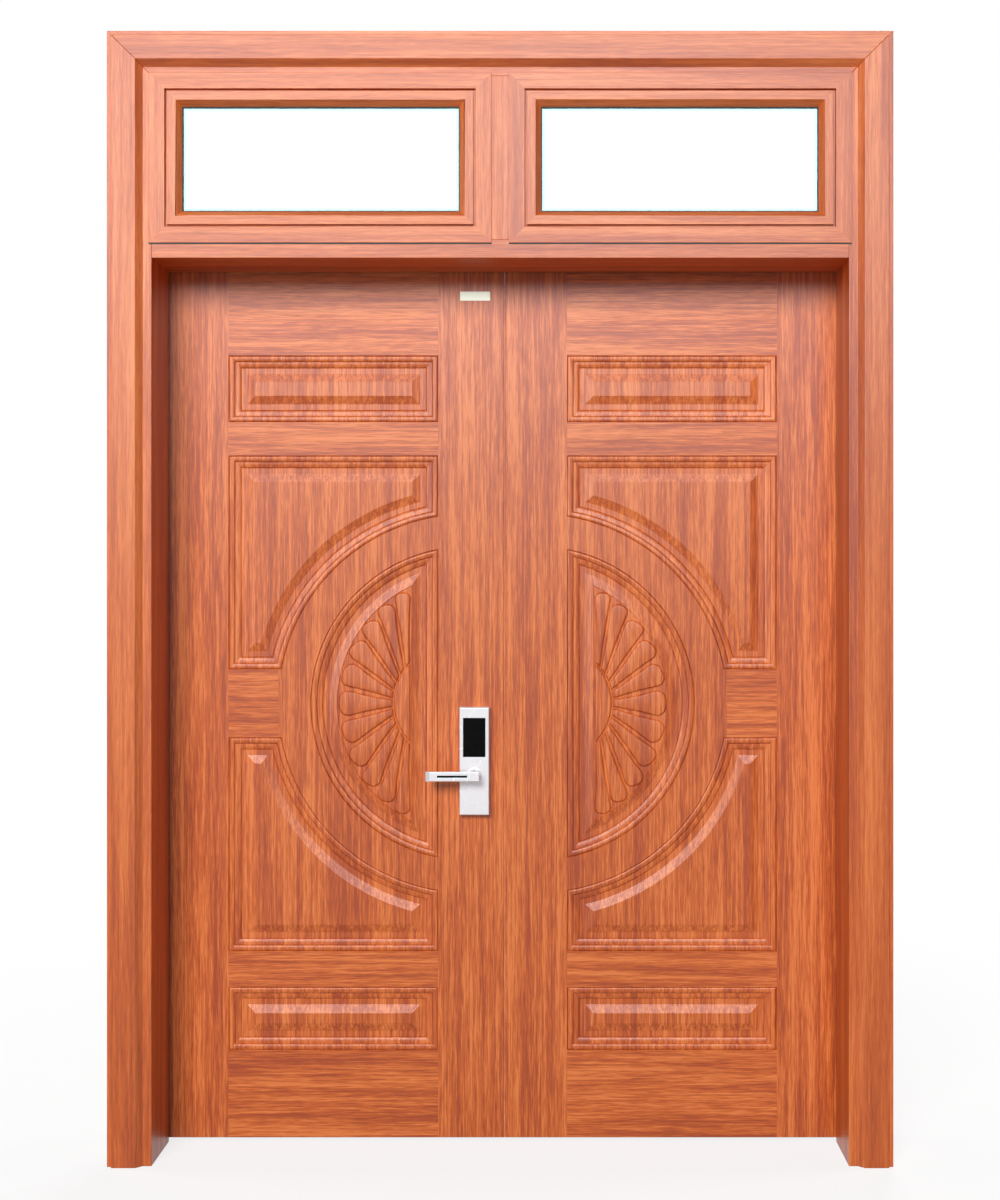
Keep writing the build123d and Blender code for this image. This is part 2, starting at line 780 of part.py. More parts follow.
def lever_inlay():
    front = LEAF_Y0 - LEVER_REACH
    end = LOCK_X + LEVER_HEEL - INLAY_HEEL
    return block((end - INLAY_LEN, end), (front, front + INLAY_T), about(LEVER_Z, INLAY_H / 2))


def thumbturn():
    seat = LEAF_Y1 + ESC_T + TURN_GAP
    base_y = (seat, seat + TURN_BASE_T)
    turn = many_sided_y(LOCK_X, TURN_Z, TURN_R, TURN_SIDES, base_y)
    grip = block(
        about(LOCK_X, TURN_GRIP_T / 2),
        (base_y[1], base_y[1] + TURN_GRIP_H),
        about(TURN_Z, TURN_GRIP_HALF),
    )
    return turn + chamfer(grip.faces().sort_by(Axis.Y)[-1].edges(), TURN_EDGE)


# Mortise lock inside the active leaf
EDGE_X = LEFT_SPAN[1]
CASE_X = (EDGE_X - FOREND_T - CASE_DEPTH, EDGE_X - FOREND_T)
CASE_Z = (LEVER_Z - CASE_LOW, LEVER_Z - CASE_LOW + CASE_H)
FOREND_Z = (LEVER_Z - FOREND_LOW, LEVER_Z - FOREND_LOW + FOREND_H)
TAIL_Y = FOLLOWER_T / 2 + TAIL_GAP
CRANK_OFF = DEAD_THROW / 2
CRANK_R = CRANK_OFF * math.sqrt(2)


def bolt_window(z, height, thickness, clearance, x):
    return block(
        x, about(LEAF_MID, thickness / 2 + clearance), about(z, height / 2 + clearance)
    )


def lock_forend():
    plate = block((EDGE_X - FOREND_T, EDGE_X), about(LEAF_MID, FOREND_W / 2), FOREND_Z)
    x = about(EDGE_X, OVERRUN)
    plate -= bolt_window(LEVER_Z, LATCH_H, LATCH_T, BOLT_CLEAR, x)
    return plate - bolt_window(TURN_Z, DEAD_H, DEAD_T, BOLT_CLEAR, x)


def lock_case():
    case = block(CASE_X, about(LEAF_MID, CASE_T / 2), CASE_Z)
    case -= block(
        (CASE_X[0] + CASE_WALL, CASE_X[1]),
        about(LEAF_MID, CASE_T / 2 - CASE_WALL),
        (CASE_Z[0] + CASE_WALL, CASE_Z[1] - CASE_WALL),
    )
    return case - [spindle(SPINDLE_HOLE / 2), tailpiece_hole((LEAF_MID, LEAF_Y1))]


def follower():
    """Hub on the spindle whose lobe draws the latch back."""
    y = about(LEAF_MID, FOLLOWER_T / 2)
    hub = block(about(LOCK_X, FOLLOWER_HALF), y, about(LEVER_Z, FOLLOWER_HALF))
    lobe = block(about(LOCK_X, LOBE_W / 2), y, (LEVER_Z, LEVER_Z + LOBE_R))
    return hub + lobe - spindle(SPINDLE / 2 + SPINDLE_CLEAR)


def latch_bolt():
    """Bevelled head, tail plate beside the follower with a slot round the spindle, and a lug."""
    back = EDGE_X - FOREND_T - LATCH_HEAD_LEN
    half = LATCH_T / 2
    head_plan = outline(
        [
            (back, LEAF_MID - half),
            (EDGE_X, LEAF_MID - half),
            (EDGE_X + LATCH_THROW, LEAF_MID - half + LATCH_NOSE),
            (EDGE_X + LATCH_THROW, LEAF_MID + half),
            (back, LEAF_MID + half),
        ]
    )
    bolt = extrude(Pos(0, 0, LEVER_Z - LATCH_H / 2) * head_plan, amount=LATCH_H)
    lug_x = LOCK_X - LOBE_W / 2 - LUG_GAP
    tail_y = (LEAF_MID + TAIL_Y, LEAF_MID + TAIL_Y + TAIL_T)
    bolt += block((lug_x - LUG_W, back), tail_y, (LEVER_Z - TAIL_HALF, LEVER_Z + LOBE_R))
    bolt += block(
        (lug_x - LUG_W, lug_x),
        (LEAF_MID - FOLLOWER_T / 2, tail_y[1]),
        (LEVER_Z + LUG_LOW, LEVER_Z + LOBE_R),
    )
    return bolt - block(
        (LOCK_X - SPINDLE_HOLE / 2, LOCK_X + SPINDLE_HOLE / 2 + LATCH_THROW),
        tail_y,
        about(LEVER_Z, SPINDLE_HOLE / 2),
    )


def dead_bolt():
    """Square bolt, flush when withdrawn, with a slotted tail for the crank pin."""
    back = EDGE_X - DEAD_LEN
    bolt = block((back, EDGE_X), about(LEAF_MID, DEAD_T / 2), about(TURN_Z, DEAD_H / 2))
    tail_y = (LEAF_MID - TAIL_Y - TAIL_T, LEAF_MID - TAIL_Y)
    bolt += block(
        (back - DEAD_TAIL_LEN, back), tail_y, (TURN_Z - DEAD_H / 2, TURN_Z + DEAD_TAIL_UP)
    )
    slot_half = CRANK_PIN_HALF + CRANK_CLEAR
    slot_z = (TURN_Z + CRANK_OFF - slot_half, TURN_Z + CRANK_R + slot_half)
    return bolt - block(about(LOCK_X - CRANK_OFF, slot_half), tail_y, slot_z)


def dead_bolt_crank():
    """Tailpiece of the thumbturn with the crank arm and its pin."""
    half = TAILPIECE / 2
    seat = LEAF_Y1 + ESC_T + TURN_GAP
    arm_y = about(LEAF_MID, FOLLOWER_T / 2)
    crank = block(about(LOCK_X, half), (arm_y[0], seat), about(TURN_Z, half))
    arm = block(about(0, CRANK_W / 2), arm_y, (-CRANK_W / 2, CRANK_R + CRANK_W / 2))
    crank += Pos(LOCK_X, 0, TURN_Z) * Rot(Y=-45) * arm
    pin_y = (arm_y[0] - TAIL_GAP - TAIL_T, arm_y[0])
    return crank + block(
        about(LOCK_X - CRANK_OFF, CRANK_PIN_HALF), pin_y, about(TURN_Z + CRANK_OFF, CRANK_PIN_HALF)
    )


# Strike in the meeting edge of the passive leaf
PASSIVE_X = RIGHT_SPAN[0]
STRIKE_Z = (LEVER_Z - STRIKE_LOW, LEVER_Z - STRIKE_LOW + STRIKE_H)
STRIKE_BACK = PASSIVE_X + STRIKE_T
STRIKE_BOX_Z = (
    LEVER_Z - LATCH_H / 2 - STRIKE_BOX_EDGE,
    TURN_Z + DEAD_H / 2 + STRIKE_BOX_EDGE,
)


def strike_plate():
    plate = block((PASSIVE_X, STRIKE_BACK), about(LEAF_MID, FOREND_W / 2), STRIKE_Z)
    x = about(PASSIVE_X, OVERRUN)
    plate -= bolt_window(LEVER_Z, LATCH_H, LATCH_T, STRIKE_CLEAR, x)
    return plate - bolt_window(TURN_Z, DEAD_H, DEAD_T, STRIKE_CLEAR, x)


def strike_box():
    box = block(
        (STRIKE_BACK, STRIKE_BACK + STRIKE_BOX_DEPTH), about(LEAF_MID, CASE_T / 2), STRIKE_BOX_Z
    )
    return box - block(
        (STRIKE_BACK, STRIKE_BACK + STRIKE_BOX_DEPTH - STRIKE_BOX_WALL),
        about(LEAF_MID, CASE_T / 2 - STRIKE_BOX_WALL),
        (STRIKE_BOX_Z[0] + STRIKE_BOX_WALL, STRIKE_BOX_Z[1] - STRIKE_BOX_WALL),
    )


# Flush bolts: a rod up or down the meeting stile with a thumb slide in the edge
ROD_X = PASSIVE_X + ROD_INSET
TOP_SLIDE_Z = LEAF_Z1 - ROD_LEN
BOTTOM_SLIDE_Z = LEAF_Z0 + ROD_LEN


def flush_bolt(slide_z, end_z):
    rod = bolt_rod((min(slide_z, end_z), max(slide_z, end_z)))
    slide = block(
        (PASSIVE_X + SLIDE_SINK, ROD_X),
        about(LEAF_MID, SLIDE_W / 2),
        about(slide_z, SLIDE_H / 2),
    )
    return rod + slide


def slide_slot(slide_z, towards):
    """Room for the thumb slide's travel, from the edge to the rod."""
    slot_z = slide_z + towards * BOLT_THROW / 2
    return block(
        (PASSIVE_X, ROD_X),
        about(LEAF_MID, SLIDE_W / 2 + BOLT_CLEAR),
        about(slot_z, (SLIDE_H + BOLT_THROW) / 2 + BOLT_CLEAR),
    )


def bolt_plate(slide_z):
    """Plate flush in the edge, before its slot is cut."""
    return block(
        (PASSIVE_X, PASSIVE_X + BOLT_PLATE_T),
        about(LEAF_MID, BOLT_PLATE_W / 2),
        about(slide_z, BOLT_PLATE_H / 2),
    )


def bolt_keeper():
    """Plate under the transom rail's rebate that takes the top flush bolt."""
    under = CLEAR_H + STOP_W
    plate = block(
        (ROD_X - ROD_INSET, ROD_X - ROD_INSET + KEEPER_LEN),
        about(LEAF_MID, KEEPER_W / 2),
        (under - KEEPER_T, under),
    )
    return plate - bolt_rod((under - KEEPER_T, under), STRIKE_CLEAR)


# Cut-outs that the lock and the bolts need in the leaves
def active_cuts():
    return [
        block((EDGE_X - FOREND_T, EDGE_X), about(LEAF_MID, FOREND_W / 2), FOREND_Z),
        block(
            (CASE_X[0] - CASE_CLEAR, EDGE_X),
            about(LEAF_MID, CASE_T / 2),
            (CASE_Z[0] - CASE_CLEAR, CASE_Z[1] + CASE_CLEAR),
        ),
        spindle(SPINDLE_HOLE / 2),
        tailpiece_hole((LEAF_MID, LEAF_Y1)),
    ]


def passive_cuts():
    cuts = [
        block((PASSIVE_X, STRIKE_BACK), about(LEAF_MID, FOREND_W / 2), STRIKE_Z),
        block(
            (PASSIVE_X, STRIKE_BACK + STRIKE_BOX_DEPTH + CASE_CLEAR),
            about(LEAF_MID, CASE_T / 2),
            (STRIKE_BOX_Z[0] - CASE_CLEAR, STRIKE_BOX_Z[1] + CASE_CLEAR),
        ),
        bolt_rod((LEAF_Z0, BOTTOM_SLIDE_Z), ROD_CLEAR),
        bolt_rod((TOP_SLIDE_Z, LEAF_Z1), ROD_CLEAR),
    ]
    for slide_z, towards in ((BOTTOM_SLIDE_Z, -1), (TOP_SLIDE_Z, 1)):
        cuts += [bolt_plate(slide_z), slide_slot(slide_z, towards)]
    return cuts


def core_pocket(x, z):
    """Room for a lock case or strike box right through the core."""
    return block(x, CAVITY_Y, (z[0] - CASE_CLEAR, z[1] + CASE_CLEAR))


# Write the frame
write("left_jamb", left_jamb())
write("right_jamb", mirrored(left_jamb()))
write("head", head())
write("transom_rail", transom_rail())
write("mullion", mullion())
for side, turned in (("left", lambda shape: shape), ("right", mirrored)):
    write(f"{side}_light_frame", turned(light_frame()))
    write(f"{side}_glazing_beads", *[turned(bead) for bead in glazing_beads()])
    write(f"{side}_glass_pane", turned(glass_pane()))
    write(f"{side}_glazing_gasket", turned(glazing_gasket()))
    write(f"{side}_jamb_seal", turned(jamb_seal()))
    write(f"{side}_frame_hinge_halves", *[turned(frame_hinge_half(z)) for z in HINGE_ZS])
    write(f"{side}_leaf_hinge_halves", *[turned(leaf_hinge_half(z)) for z in HINGE_ZS])
write("rail_seal", rail_seal())
write("bolt_keeper", bolt_keeper())

# Write the leaves
left_front = front_pan(LEFT_SPAN[1])
right_front = mirrored(front_pan(-RIGHT_SPAN[0]))
left_core = core(LEFT_SPAN)
right_core = core(RIGHT_SPAN)
write("left_leaf_front_skin", left_front - active_cuts())
write("left_leaf_back_skin", mirror(left_front, about=LEAF_PLANE) - active_cuts())
write("left_leaf_inner_frame", inner_frame(LEFT_SPAN) - active_cuts())
write("left_leaf_core", left_core - core_pocket((CASE_X[0] - CASE_CLEAR, EDGE_X), CASE_Z))
write("right_leaf_front_skin", right_front - passive_cuts())
write("right_leaf_back_skin", mirror(right_front, about=LEAF_PLANE) - passive_cuts())
write("right_leaf_inner_frame", inner_frame(RIGHT_SPAN) - passive_cuts())
box_back = STRIKE_BACK + STRIKE_BOX_DEPTH + CASE_CLEAR
write("right_leaf_core", right_core - core_pocket((PASSIVE_X, box_back), STRIKE_BOX_Z))

# Write the lock and the bolts
write("outside_escutcheon", outside_escutcheon())
write("reader_pane", reader_pane())
write("inside_escutcheon", inside_escutcheon())
write("battery_cover", battery_cover())
write("outside_lever", lever() - lever_inlay())
write("lever_inlay", lever_inlay())
write("inside_lever", mirror(lever(), about=LEAF_PLANE))
write("lever_spindle", spindle())
write("lock_follower", follower())
write("lock_case", lock_case())
write("lock_forend", lock_forend())
write("latch_bolt", latch_bolt())
write("thumbturn", thumbturn())
write("dead_bolt_crank", dead_bolt_crank())
write("dead_bolt", dead_bolt())
write("strike_plate", strike_plate())
write("strike_box", strike_box())
write("top_flush_bolt", flush_bolt(TOP_SLIDE_Z, LEAF_Z1))
write("top_bolt_plate", bolt_plate(TOP_SLIDE_Z) - slide_slot(TOP_SLIDE_Z, 1))
write("bottom_flush_bolt", flush_bolt(BOTTOM_SLIDE_Z, LEAF_Z0))
write("bottom_bolt_plate", bolt_plate(BOTTOM_SLIDE_Z) - slide_slot(BOTTOM_SLIDE_Z, -1))
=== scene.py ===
import math

import bmesh
import bpy
from mathutils import Matrix, Vector


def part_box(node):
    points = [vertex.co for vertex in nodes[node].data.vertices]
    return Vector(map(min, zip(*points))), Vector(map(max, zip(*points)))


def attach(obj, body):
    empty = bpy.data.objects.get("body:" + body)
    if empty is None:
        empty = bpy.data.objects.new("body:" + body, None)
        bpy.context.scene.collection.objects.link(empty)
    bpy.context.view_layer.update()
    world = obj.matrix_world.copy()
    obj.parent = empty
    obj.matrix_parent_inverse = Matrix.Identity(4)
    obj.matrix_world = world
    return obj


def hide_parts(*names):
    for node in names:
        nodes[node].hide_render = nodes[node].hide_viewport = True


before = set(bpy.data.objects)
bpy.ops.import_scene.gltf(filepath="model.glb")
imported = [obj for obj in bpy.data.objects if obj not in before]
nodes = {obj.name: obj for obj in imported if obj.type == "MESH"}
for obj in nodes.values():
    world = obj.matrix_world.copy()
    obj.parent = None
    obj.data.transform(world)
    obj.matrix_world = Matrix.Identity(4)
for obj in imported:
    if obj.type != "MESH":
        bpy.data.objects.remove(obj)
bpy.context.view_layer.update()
bpy.context.scene.view_settings.view_transform = "Standard"


# Jambs and head. Folded from steel sheet, mitred and welded at the top corners, and finished
# with a printed wood grain under lacquer. The grain runs along each length.
def add(tree, kind, **settings):
    node = tree.nodes.new(kind)
    for name, value in settings.items():
        setattr(node, name, value)
    return node


def math_node(tree, operation, *values):
    """A Math node; each value is a number or another node's output."""
    node = add(tree, "ShaderNodeMath", operation=operation)
    for socket, value in zip(node.inputs, values):
        if isinstance(value, bpy.types.NodeSocket):
            tree.links.new(value, socket)
        else:
            socket.default_value = value
    return node.outputs[0]


def make_wood_grain():
    """Streaks along Z: broad tone bands, wandering streaks and short dark fibres. Fibre sets
    how much the streaks and fibres show. Each layer is (stretch, detail, warp)."""
    bands = ((24.0, 24.0, 0.8), 2.0, 0.2)
    wandering = ((140.0, 140.0, 3.6), 4.0, 0.6)
    fibres = ((430.0, 430.0, 24.0), 3.0, 0.3)
    dark, middle, light = (0.35, 0.048, 0.004), (0.55, 0.106, 0.011), (0.75, 0.200, 0.044)
    tones = ((0.41, dark), (0.50, middle), (0.59, light))
    group = bpy.data.node_groups.new("wood_grain", "ShaderNodeTree")
    group.interface.new_socket("Vector", in_out="INPUT", socket_type="NodeSocketVector")
    group.interface.new_socket("Fibre", in_out="INPUT", socket_type="NodeSocketFloat")
    for name, kind in (("Color", "Color"), ("Roughness", "Float"), ("Height", "Float")):
        group.interface.new_socket(name, in_out="OUTPUT", socket_type=f"NodeSocket{kind}")
    start = add(group, "NodeGroupInput")
    end = add(group, "NodeGroupOutput")
    layers = []
    for stretch, detail, warp in (bands, wandering, fibres):
        spread = add(group, "ShaderNodeMapping")
        spread.inputs["Scale"].default_value = stretch
        group.links.new(start.outputs["Vector"], spread.inputs["Vector"])
        streaks = add(group, "ShaderNodeTexNoise")
        streaks.inputs["Scale"].default_value = 1.0
        streaks.inputs["Detail"].default_value = detail
        streaks.inputs["Distortion"].default_value = warp
        group.links.new(spread.outputs["Vector"], streaks.inputs["Vector"])
        layers.append(streaks.outputs["Fac"])
    band_share, wander_share, fibre_share = 0.30, 0.38, 0.32
    even = (wander_share + fibre_share) / 2
    fine = math_node(group, "MULTIPLY_ADD", layers[1], wander_share, -even)
    fine = math_node(group, "MULTIPLY_ADD", layers[2], fibre_share, fine)
    tone = math_node(group, "MULTIPLY_ADD", layers[0], band_share, even)
    tone = math_node(group, "MULTIPLY_ADD", fine, start.outputs["Fibre"], tone)
    ramp = add(group, "ShaderNodeValToRGB")
    stops = ramp.color_ramp.elements
    stops.new(tones[1][0])
    for stop, (place, colour) in zip(stops, tones):
        stop.position = place
        stop.color = (*colour, 1.0)
    group.links.new(tone, ramp.inputs["Fac"])
    shine = add(group, "ShaderNodeMapRange")
    shine.inputs["To Min"].default_value = 0.42
    shine.inputs["To Max"].default_value = 0.32
    group.links.new(layers[1], shine.inputs["Value"])
    group.links.new(ramp.outputs["Color"], end.inputs["Color"])
    group.links.new(shine.outputs["Result"], end.inputs["Roughness"])
    group.links.new(layers[2], end.inputs["Height"])
    return group


WOOD_GRAIN = make_wood_grain()


def wood_finish(name, fibre, level=False, rails=None):
    """Lacquered wood-grain steel with upright grain, with level grain, or with level grain
    where rails, a function that adds nodes after the Object coordinates, gives a mask of 1."""
    material = bpy.data.materials.new(name)
    material.use_nodes = True
    tree = material.node_tree
    shader = tree.nodes["Principled BSDF"]
    coords = vector = add(tree, "ShaderNodeTexCoord").outputs["Object"]
    if level or rails:
        turned = add(tree, "ShaderNodeMapping")
        turned.inputs["Rotation"].default_value = (0.0, math.radians(90), 0.0)
        tree.links.new(coords, turned.inputs["Vector"])
        vector = turned.outputs["Vector"]
    if rails:
        choose = add(tree, "ShaderNodeMix", data_type="VECTOR")
        tree.links.new(rails(tree, coords), choose.inputs["Factor"])
        tree.links.new(coords, choose.inputs[4])
        tree.links.new(vector, choose.inputs[5])
        vector = choose.outputs[1]
    grain = add(tree, "ShaderNodeGroup", node_tree=WOOD_GRAIN)
    tree.links.new(vector, grain.inputs["Vector"])
    grain.inputs["Fibre"].default_value = fibre
    shader.inputs["Specular IOR Level"].default_value = 0.62
    tree.links.new(grain.outputs["Color"], shader.inputs["Base Color"])
    tree.links.new(grain.outputs["Roughness"], shader.inputs["Roughness"])
    bump = add(tree, "ShaderNodeBump")
    bump.inputs["Strength"].default_value = 0.06
    bump.inputs["Distance"].default_value = 0.0004
    tree.links.new(grain.outputs["Height"], bump.inputs["Height"])
    tree.links.new(bump.outputs["Normal"], shader.inputs["Normal"])
    return material


def dress(names, material, edge=0.0):
    """Gives CAD nodes their finish, and eases their folded or machined edges."""
    for name in names:
        node = nodes[name]
        node.material_slots[0].material = material
        if edge:
            weld = node.modifiers.new("weld", "WELD")
            weld.merge_threshold = 0.00001
            ease = node.modifiers.new("eased_edges", "BEVEL")
            ease.width = edge
            ease.segments = 2
            ease.limit_method = "ANGLE"
            ease.angle_limit = math.radians(25)


FRAME_FIBRE = 0.6
FRAME_FOLD = 0.0012
upright_wood = wood_finish("wood_upright", FRAME_FIBRE)
level_wood = wood_finish("wood_level", FRAME_FIBRE, level=True)
dress(["left_jamb", "right_jamb"], upright_wood, FRAME_FOLD)
dress(["head"], level_wood, FRAME_FOLD)


# Transom rail and mullion. Folded steel tubes welded between the jambs and up to the head,
# finished like the frame.
dress(["transom_rail"], level_wood, FRAME_FOLD)
dress(["mullion"], upright_wood, FRAME_FOLD)


# Fixed lights. Each is a welded frame that laps the opening, with mitred glazing beads
# screwed in from the front. Their rails have level grain and their stiles upright grain.
def light_rails(name):
    """Mask of the level members of a light, which meet the stiles on mitres."""
    low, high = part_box(name)
    centre = (low + high) / 2
    half = (high - low) / 2

    def mask(tree, coords):
        split = add(tree, "ShaderNodeSeparateXYZ")
        tree.links.new(coords, split.inputs["Vector"])
        aside = math_node(tree, "SUBTRACT", split.outputs["X"], centre.x)
        aside = math_node(tree, "ABSOLUTE", aside)
        above = math_node(tree, "SUBTRACT", split.outputs["Z"], centre.z)
        above = math_node(tree, "ABSOLUTE", above)
        reach = math_node(tree, "ADD", above, half.x - half.z)
        return math_node(tree, "GREATER_THAN", reach, aside)

    return mask


BEAD_FOLD = 0.0008
for side in ("left", "right"):
    rails = light_rails(f"{side}_light_frame")
    light_wood = wood_finish(f"wood_{side}_light", FRAME_FIBRE, rails=rails)
    dress([f"{side}_light_frame", f"{side}_glazing_beads"], light_wood, BEAD_FOLD)


# Glass and rubber. Clear float glass with a painted blue-green glint along its edges, in black
# channel gaskets; black rebate seals round the leaves; a black strip under each light that paints
# the shadow of the joint.
def make_surface_noise():
    """Fine unevenness of a coated, moulded or brushed surface."""
    group = bpy.data.node_groups.new("surface_noise", "ShaderNodeTree")
    group.interface.new_socket("Vector", in_out="INPUT", socket_type="NodeSocketVector")
    group.interface.new_socket("Stretch", in_out="INPUT", socket_type="NodeSocketVector")
    group.interface.new_socket("Value", in_out="OUTPUT", socket_type="NodeSocketFloat")
    start = add(group, "NodeGroupInput")
    end = add(group, "NodeGroupOutput")
    spread = add(group, "ShaderNodeVectorMath", operation="MULTIPLY")
    group.links.new(start.outputs["Vector"], spread.inputs[0])
    group.links.new(start.outputs["Stretch"], spread.inputs[1])
    noise = add(group, "ShaderNodeTexNoise")
    noise.inputs["Scale"].default_value = 1.0
    noise.inputs["Detail"].default_value = 4.0
    group.links.new(spread.outputs["Vector"], noise.inputs["Vector"])
    group.links.new(noise.outputs["Fac"], end.inputs["Value"])
    return group


SURFACE_NOISE = make_surface_noise()


def worked_finish(name, colours, roughness, stretch, metallic=0.0, relief=0.0):
    """Finish whose colour and gloss vary between two values with a fine noise."""
    noise_low, noise_high = 0.3, 0.7
    material = bpy.data.materials.new(name)
    material.use_nodes = True
    tree = material.node_tree
    shader = tree.nodes["Principled BSDF"]
    shader.inputs["Metallic"].default_value = metallic
    coords = add(tree, "ShaderNodeTexCoord")
    noise = add(tree, "ShaderNodeGroup", node_tree=SURFACE_NOISE)
    noise.inputs["Stretch"].default_value = stretch
    tree.links.new(coords.outputs["Object"], noise.inputs["Vector"])
    tint = add(tree, "ShaderNodeValToRGB")
    for stop, place, colour in zip(tint.color_ramp.elements, (noise_low, noise_high), colours):
        stop.position = place
        stop.color = (*colour, 1.0)
    tree.links.new(noise.outputs["Value"], tint.inputs["Fac"])
    tree.links.new(tint.outputs["Color"], shader.inputs["Base Color"])
    gloss = add(tree, "ShaderNodeMapRange")
    gloss.inputs["From Min"].default_value = noise_low
    gloss.inputs["From Max"].default_value = noise_high
    gloss.inputs["To Min"].default_value = roughness[0]
    gloss.inputs["To Max"].default_value = roughness[1]
    tree.links.new(noise.outputs["Value"], gloss.inputs["Value"])
    tree.links.new(gloss.outputs["Result"], shader.inputs["Roughness"])
    if relief:
        bump = add(tree, "ShaderNodeBump")
        bump.inputs["Strength"].default_value = relief
        bump.inputs["Distance"].default_value = 0.0002
        tree.links.new(noise.outputs["Value"], bump.inputs["Height"])
        tree.links.new(bump.outputs["Normal"], shader.inputs["Normal"])
    return material


BEAD_W = 0.036
# Painted glint: the glass face turns blue-green near the beads and fades to clear inwards.
EDGE_GLINT_W = 0.016
EDGE_GLINT_FULL = 0.3
EDGE_GLINT_COLOUR = (0.58, 0.88, 0.92)
GLASS_COLOUR = (0.96, 0.995, 0.995)
for side in ("left", "right"):
    low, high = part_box(f"{side}_glazing_beads")
    centre = (low + high) / 2
    half = (high - low) / 2 - Vector((BEAD_W, 0.0, BEAD_W))
    glass = bpy.data.materials.new(f"{side}_clear_glass")
    glass.use_nodes = True
    tree = glass.node_tree
    shader = tree.nodes["Principled BSDF"]
    shader.inputs["Roughness"].default_value = 0.0
    shader.inputs["IOR"].default_value = 1.45
    shader.inputs["Transmission Weight"].default_value = 1.0
    coords = add(tree, "ShaderNodeTexCoord")
    split = add(tree, "ShaderNodeSeparateXYZ")
    tree.links.new(coords.outputs["Object"], split.inputs["Vector"])
    aside = math_node(tree, "SUBTRACT", split.outputs["X"], centre.x)
    aside = math_node(tree, "SUBTRACT", half.x, math_node(tree, "ABSOLUTE", aside))
    above = math_node(tree, "SUBTRACT", split.outputs["Z"], centre.z)
    above = math_node(tree, "SUBTRACT", half.z, math_node(tree, "ABSOLUTE", above))
    to_edge = math_node(tree, "MINIMUM", aside, above)
    inner = math_node(tree, "DIVIDE", to_edge, EDGE_GLINT_W)
    # Painted glint: blue-green near the sight edges, clear glass further in.
    tint = add(tree, "ShaderNodeValToRGB")
    glint_stop, clear_stop = tint.color_ramp.elements
    glint_stop.position = EDGE_GLINT_FULL
    glint_stop.color = (*EDGE_GLINT_COLOUR, 1.0)
    clear_stop.color = (*GLASS_COLOUR, 1.0)
    tree.links.new(inner, tint.inputs["Fac"])
    tree.links.new(tint.outputs["Color"], shader.inputs["Base Color"])
    dress([f"{side}_glass_pane"], glass)
black_rubber = worked_finish(
    "black_rubber",
    colours=((0.009, 0.009, 0.009), (0.018, 0.018, 0.018)),
    roughness=(0.55, 0.75),
    stretch=(900.0, 900.0, 900.0),
    relief=0.3,
)
dress(["left_glazing_gasket", "right_glazing_gasket"], black_rubber)
dress(["left_jamb_seal", "right_jamb_seal", "rail_seal"], black_rubber)


def new_piece(name, bm, body, material):
    """Makes a piece from a finished bmesh and lets it ride on a body."""
    mesh = bpy.data.meshes.new(name)
    bm.to_mesh(mesh)
    bm.free()
    mesh.materials.append(material)
    piece = bpy.data.objects.new(name, mesh)
    bpy.context.scene.collection.objects.link(piece)
    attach(piece, body)
    return piece


def eased_block(low, high, edge):
    """Box between two corners with rounded edges."""
    bm = bmesh.new()
    size = Vector(high) - Vector(low)
    place = Matrix.Translation((Vector(low) + Vector(high)) / 2) @ Matrix.Diagonal((*size, 1.0))
    bmesh.ops.create_cube(bm, size=1.0, matrix=place)
    bmesh.ops.bevel(
        bm, geom=bm.edges[:], offset=edge, affect="EDGES", segments=2, profile=0.5, material=-1
    )
    return bm


# Painted shadow: a thin black rubber strip along the foot of each light, where the light meets the
# rail and there is only the shadow of the joint.
JOINT_SHADOW_H = 0.0030
JOINT_SHADOW_T = 0.0012
RUBBER_EDGE = 0.0003
for side in ("left", "right"):
    low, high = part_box(f"{side}_light_frame")
    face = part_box("mullion")[0].y
    strip = eased_block(
        (low.x, face - JOINT_SHADOW_T, low.z - JOINT_SHADOW_H), (high.x, face, low.z), RUBBER_EDGE
    )
    new_piece(f"{side}_joint_shadow_strip", strip, "frame", black_rubber)


# Leaf skins. Each face of a leaf is a pan pressed from thin steel sheet: folded edges, four
# corner panels and a half-moon with a rosette, and the same wood-grain finish. The stiles
# have upright grain; the rails between the panels have level grain.
PANEL_FAR = 0.6575
PANEL_NEAR = 0.1545
FOOT_PANEL = (0.2175, 0.3685)
LOWER_PANEL = (0.4545, 0.9675)
UPPER_PANEL = (1.1305, 1.6435)
HEAD_PANEL = (1.7235, 1.8835)
ARC_CENTRE = Vector((-0.084, 0.0, 1.049))
BIG_ARC_R = 0.453
MOON_R = 0.377
ARC_STEPS = 64
LEAF_Z = (0.008, 2.092)
LEAF_EDGE = 0.808
LEAF_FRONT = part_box("left_leaf_front_skin")[0].y
LEAF_MIDDLE = 0.066
PAN_DEPTH = 0.0248
SHEET_T = 0.0008
FOLD_R = 0.001


# Moulding from the outline inwards, as steps of (width, rise): a scored line, a rounded bead,
# a slope with a thin fillet at its foot, a flat floor, and the bevel up to the field.
def rounded(width, rise, steps, top_first):
    """Quarter-round as steps of (width, rise), level at its start or at its end."""
    turns = [math.radians(90) * step / steps for step in range(steps + 1)]
    level = [(math.sin(turn), 1 - math.cos(turn)) for turn in turns]
    steep = [(1 - math.cos(turn), math.sin(turn)) for turn in turns]
    places = level if top_first else steep
    return [
        (width * (b[0] - a[0]), rise * (b[1] - a[1])) for a, b in zip(places, places[1:])
    ]


BEAD = rounded(0.0052, 0.0034, 4, False) + rounded(0.0085, -0.0042, 6, True)
SLOPE = [(0.0008, -0.0014)] + rounded(0.0137, -0.0052, 6, True) + [(0.0010, 0.0008)]
FIELD_BEVEL = [(0.0130, 0.0), (0.0200, 0.0062)]
MOULDING = [(0.0013, -0.0028)] + BEAD + SLOPE + FIELD_BEVEL
FIELD_INSET = sum(width for width, rise in MOULDING)


